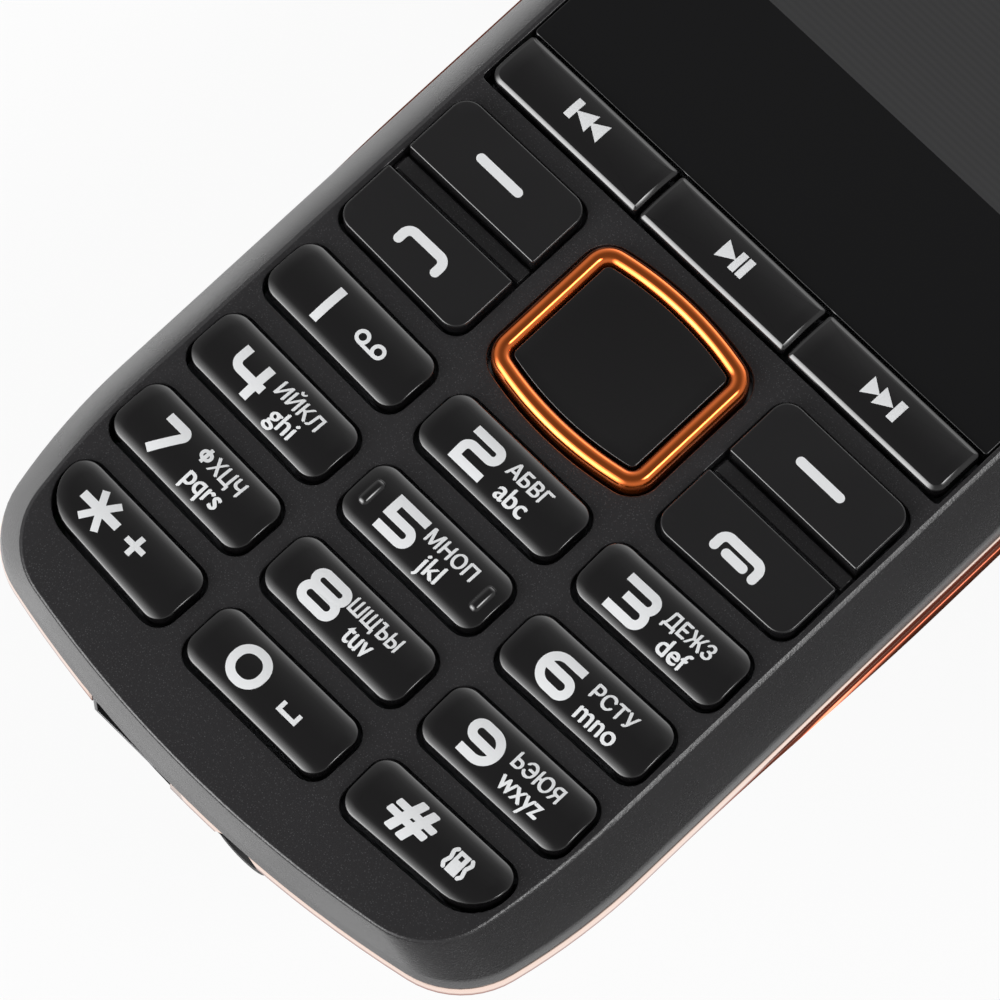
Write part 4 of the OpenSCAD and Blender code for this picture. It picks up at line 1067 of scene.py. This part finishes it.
# Case screws: four small steel screws that pull the rear housing against the front one.
# They are plain cross-recessed thread-forming screws, driven from the back under the cover.
screw_low, screw_high = [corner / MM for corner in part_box("case_screws")]
screw_r, screw_head_r, screw_head_h = 0.6, 1.1, 0.8
upper_screw_x = 12.0
recess_r, recess_w, recess_h, recess_out = 0.64, 0.12, 0.45, 0.2
head_round = [(0.6, 0), (0.95, 0.06), (1.06, 0.16), (screw_head_r, 0.3)]


def capped(bm, rings):
    """Join rings of points with quads and close both ends."""
    made = loft(bm, rings)
    fill(bm, [made[0]])
    fill(bm, [made[-1]])


def circles(middle, steps, count=48):
    """Rings of a turned piece: circles of given radius and height about an upright line."""
    turns = [2 * math.pi * i / count for i in range(count)]
    return [[(middle[0] + r * math.cos(t), middle[1] + r * math.sin(t), z) for t in turns] for r, z in steps]


screws, recesses = bmesh.new(), bmesh.new()
arm = [(recess_r, -recess_w), (recess_r, recess_w), (recess_w, recess_w)]
cross = [tuple(Matrix.Rotation(math.pi / 2 * i, 2) @ Vector(p)) for i in range(4) for p in arm]
head = head_round + [(screw_head_r, screw_head_h), (screw_r, screw_head_h)]
screw_steps = [(r, screw_low.z + z) for r, z in head] + [(screw_r, screw_high.z)]
lower_place = (screw_high.x - screw_head_r, screw_low.y + screw_head_r)
upper_place = (upper_screw_x, screw_high.y - screw_head_r)
for side in (-1, 1):
    for x, y in (lower_place, upper_place):
        capped(screws, circles((side * x, y), screw_steps))
        recess = [[(side * x + p, y + q, screw_low.z + z) for p, q in cross] for z in (-recess_out, recess_h)]
        capped(recesses, recess)
screw_piece = make_piece("case_screws_cross", screws, sheet_steel, "casing", "case_screws")
cut(screw_piece, mesh_object("recess_cutter", recesses))


# Battery: a flat lithium cell wrapped in grey film, which lies in the bay and is taken out by hand.
# Its upper end is a black moulded cap that carries the gold contacts.
battery_can = moulded_finish("battery_can", (0.16, 0.175, 0.2), (0.2, 0.21, 0.24), (0.35, 0.5),
                             2500, 0.3, 0.004, metallic=0.4)
dress(["battery"], battery_can, 0.5)


# Battery cover: the removable back of the phone, a shallow shell with deeply rounded edges.
# It is moulded in matte black plastic, with six clips, a speaker grille and a hole for the camera.
cover_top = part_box("battery_cover")[1].z / MM
cover_gap, cover_in = 0.05, 0.3
cover_h = band_low - cover_gap
cover_round, cover_wall, cover_step = 4.0, 1.0, 2.6
cover_lip = [(0, 0.12), (0.04, 0.03), (0.12, 0)]
cover_turns = [math.pi / 2 * (1 - i / 18) for i in range(18)]
clip_w, clip_t, clip_in, clip_root = 4.0, 0.8, 1.55, 0.6
clip_pitch, clip_edge, root_gap = 30.0, 0.1, 0.1
speaker_low, speaker_high = [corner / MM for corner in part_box("loudspeaker")]
camera_low, camera_high = [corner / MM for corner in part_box("camera_window")]


def cover_ring(inset, z):
    """Ring of the cover, drawn in from the casing's line."""
    inset += cover_in
    return [(x, y, z) for x, y in casing_loop(half_w - inset, half_l - inset, bend_r[0], corner_r[0])]


def cover_inset(z):
    """How far the rounded edge has drawn in at a height."""
    return cover_round * (1 - math.sqrt(1 - (1 - z / cover_h) ** 2))


cover_mesh = bmesh.new()
outside = [cover_ring(cover_round * (1 - math.cos(t)), cover_h * (1 - math.sin(t))) for t in cover_turns]
outside += [cover_ring(inset, cover_h - fall) for inset, fall in cover_lip]
inside = [cover_ring(cover_inset(cover_step) + cover_wall, z) for z in (cover_h, cover_step)]
inside += [cover_ring(cover_inset(cover_wall) + cover_wall, z) for z in (cover_step, cover_wall)]
capped(cover_mesh, outside + inside)
cover_black = moulded_finish("cover_black", (0.013, 0.013, 0.014), (0.2, 0.2, 0.21), (0.49, 0.55),
                             4500, 0.26, 0.014, sparkle=0.5)
cover = make_piece("battery_cover_shell", cover_mesh, cover_black, "battery_cover", "battery_cover")
cut(cover, port_cutter())

openings = bmesh.new()
speaker_mid = (speaker_low + speaker_high) / 2
slot_w, slot_l, slot_pitch = (speaker_high.x - speaker_low.x) / 2, 0.8, 2.0
slot_out = 1.0
for i in (-1, 0, 1):
    y = speaker_mid.y + i * slot_pitch
    add_block(openings, -slot_w / 2, y - slot_l / 2, -slot_out,
              slot_w / 2, y + slot_l / 2, cover_wall + slot_out)
camera_mid = (camera_low + camera_high) / 2
camera_gap, camera_deep = 0.05, 4.0
camera_r = (camera_high.x - camera_low.x) / 2 + camera_gap
add_rod(openings, camera_r, camera_deep, Matrix.Translation((camera_mid.x, camera_mid.y, 0)), 64)
cut(cover, mesh_object("back_cutter", openings))

clips = bmesh.new()
clip_x = half_w - clip_in - clip_t / 2
clip_foot, root_top = cover_step + clip_root, cover_h - root_gap
root_reach = (clip_t + clip_root) / 2
for side in (-1, 1):
    for y in (-clip_pitch, 0, clip_pitch):
        x = side * clip_x
        add_block(clips, x - clip_t / 2, y - clip_w / 2, clip_foot, x + clip_t / 2, y + clip_w / 2, cover_top)
        x += side * clip_root / 2
        add_block(clips, x - root_reach, y - clip_w / 2, clip_foot, x + root_reach, y + clip_w / 2, root_top)
clip_piece = make_piece("battery_cover_clips", clips, cover_black, "battery_cover", like="battery_cover")
clip_piece.modifiers.new("edge", "BEVEL").width = clip_edge * MM
dress(["camera_window"], window_black, 0.1)


# Camera ring and lens: a turned steel ring around a small domed lens on the camera window.
# The lens is clear plastic, dark from the camera behind it; both come off with the cover.
lens_share, lens_dome, lens_sink = 0.3, 0.11, 0.02
dome_turns = (0, 0.4, 0.8, 1.15, 1.45)
bead_in, bead_out, bead_h, bead_round = 0.52, 0.6, 0.1, (0.015, 0.06)
lens_z = camera_low.z + lens_sink
lens_glass = moulded_finish("lens_glass", (0.006, 0.008, 0.02), (0.01, 0.012, 0.03), (0.04, 0.06),
                            9000, 0.2, 0.0002, coat=1.0)
lens, collar = bmesh.new(), bmesh.new()
dome = [(camera_r * lens_share * math.cos(t), lens_z - lens_dome * math.sin(t)) for t in dome_turns]
capped(lens, circles(camera_mid, dome))
make_piece("camera_window_lens", lens, lens_glass, "battery_cover", like="camera_window")
bead = [(bead_out, 0), (bead_out, -bead_round[1]), (bead_out - bead_round[0], -bead_h),
        (bead_in + bead_round[0], -bead_h), (bead_in, -bead_round[1]), (bead_in, 0)]
loft(collar, circles(camera_mid, [(camera_r * r, lens_z + z) for r, z in bead], 64), closed=True)
make_piece("camera_window_ring", collar, sheet_steel, "battery_cover", like="camera_window")


# Floor, studio light and camera: a plain white table below the phone, soft light from the front and sides.
# The floor lies well below the phone, so that its cover has room to come off at the back.
floor_z = -24.0
floor_side, floor_front, floor_back = 83.0, 78.0, 120.0
floor_glow = 0.9
floor_corners = box_corners(-floor_side, -floor_front, floor_side, floor_back)
floor_mesh = bpy.data.meshes.new("floor")
floor_mesh.from_pydata([(x * MM, y * MM, floor_z * MM) for x, y in floor_corners], [], [(0, 1, 2, 3)])
floor = bpy.data.objects.new("floor", floor_mesh)
bpy.context.scene.collection.objects.link(floor)
paper = bpy.data.materials.new("white_paper")
paper.use_nodes = True
tree = paper.node_tree
diffuse = tree.nodes["Principled BSDF"]
feed(tree, diffuse, {"Base Color": (0.9, 0.9, 0.9, 1), "Roughness": 0.9, "Specular IOR Level": 0.1})
glow = add_node(tree, "ShaderNodeEmission")
rays = add_node(tree, "ShaderNodeLightPath").outputs
shiny = add_node(tree, "ShaderNodeMath", {0: rays["Is Glossy Ray"], 1: rays["Is Transmission Ray"]},
                 operation="MAXIMUM")
seen = add_node(tree, "ShaderNodeMath", {0: rays["Is Camera Ray"], 1: shiny.outputs["Value"]},
                operation="MAXIMUM")
share = add_node(tree, "ShaderNodeMath", {0: seen.outputs["Value"], 1: floor_glow}, operation="MULTIPLY")
lit = add_node(tree, "ShaderNodeMixShader",
               {"Fac": share.outputs["Value"], 1: diffuse.outputs["BSDF"], 2: glow.outputs["Emission"]})
from_below = add_node(tree, "ShaderNodeNewGeometry").outputs["Backfacing"]
clear = add_node(tree, "ShaderNodeBsdfTransparent")
one_sided = add_node(tree, "ShaderNodeMixShader",
                     {"Fac": from_below, 1: lit.outputs["Shader"], 2: clear.outputs["BSDF"]})
feed(tree, tree.nodes["Material Output"], {"Surface": one_sided.outputs["Shader"]})
floor_mesh.materials.append(paper)

sky = bpy.data.worlds.new("studio")
bpy.context.scene.world = sky
sky.use_nodes = True
tree = sky.node_tree
around = add_node(tree, "ShaderNodeTexCoord").outputs["Generated"]
upward = add_node(tree, "ShaderNodeSeparateXYZ", {"Vector": around}).outputs["Z"]
walls = add_node(tree, "ShaderNodeValToRGB", {"Fac": upward})
ramp = walls.color_ramp
for place, grey in ((0.05, 0.32), (0.26, 0.5), (0.5, 0.52), (0.71, 0.35), (0.87, 0.18), (0.96, 0.12)):
    stop = ramp.elements.new(place)
    stop.color = (grey, grey, grey, 1)
ramp.elements.remove(ramp.elements[-1])
ramp.elements.remove(ramp.elements[0])


def add_softbox(behind, azimuth, elevation, size, strength):
    """A patch that fades out softly on the studio's walls, bright or, below zero, dark.
    Angles are in degrees, azimuth from +X towards +Y."""
    a, e = math.radians(azimuth), math.radians(elevation)
    middle = (math.cos(a) * math.cos(e), math.sin(a) * math.cos(e), math.sin(e))
    spread = add_node(tree, "ShaderNodeMapping", {"Vector": around, "Scale": [1 / s for s in size],
                                                  "Location": [-m / s for m, s in zip(middle, size)]})
    fade = add_node(tree, "ShaderNodeTexGradient", {"Vector": spread.outputs["Vector"]},
                    gradient_type="QUADRATIC_SPHERE")
    patch = add_node(tree, "ShaderNodeMath", {0: fade.outputs["Fac"], 1: strength, 2: behind},
                     operation="MULTIPLY_ADD")
    return patch.outputs["Value"]


light = walls.outputs["Color"]
softboxes = [(-106, 23, (0.75, 0.75, 0.7), 11), (14, 50, (0.3, 0.3, 0.25), 16),
             (104, 10, (0.95, 0.95, 0.5), 2.2), (-50, -12, (0.75, 0.75, 0.65), -0.3)]
for softbox in softboxes:
    light = add_softbox(light, *softbox)
rays = add_node(tree, "ShaderNodeLightPath").outputs
backdrop = add_node(tree, "ShaderNodeMix", data_type="RGBA",
                    inputs={"Factor": rays["Is Camera Ray"], "A": light, "B": (1, 1, 1, 1)})
feed(tree, tree.nodes["Background"], {"Color": backdrop.outputs["Result"]})

camera_data = bpy.data.cameras.new("camera")
camera_data.lens = 282.5
camera_data.sensor_width = 36
camera = bpy.data.objects.new("camera", camera_data)
camera_place = Matrix.Translation((0.11592, -0.14372, 0.48293))
right = Vector((0.701791897, 0.712381722, 0.000644665))
up = Vector((-0.673815672, 0.663504889, 0.325167191))
towards = Vector((0.231215425, -0.228634086, 0.945656323))
camera.matrix_world = camera_place @ Matrix((right, up, towards)).transposed().to_4x4()
bpy.context.scene.collection.objects.link(camera)
bpy.context.scene.camera = camera
bpy.context.scene.view_settings.view_transform = "Standard"
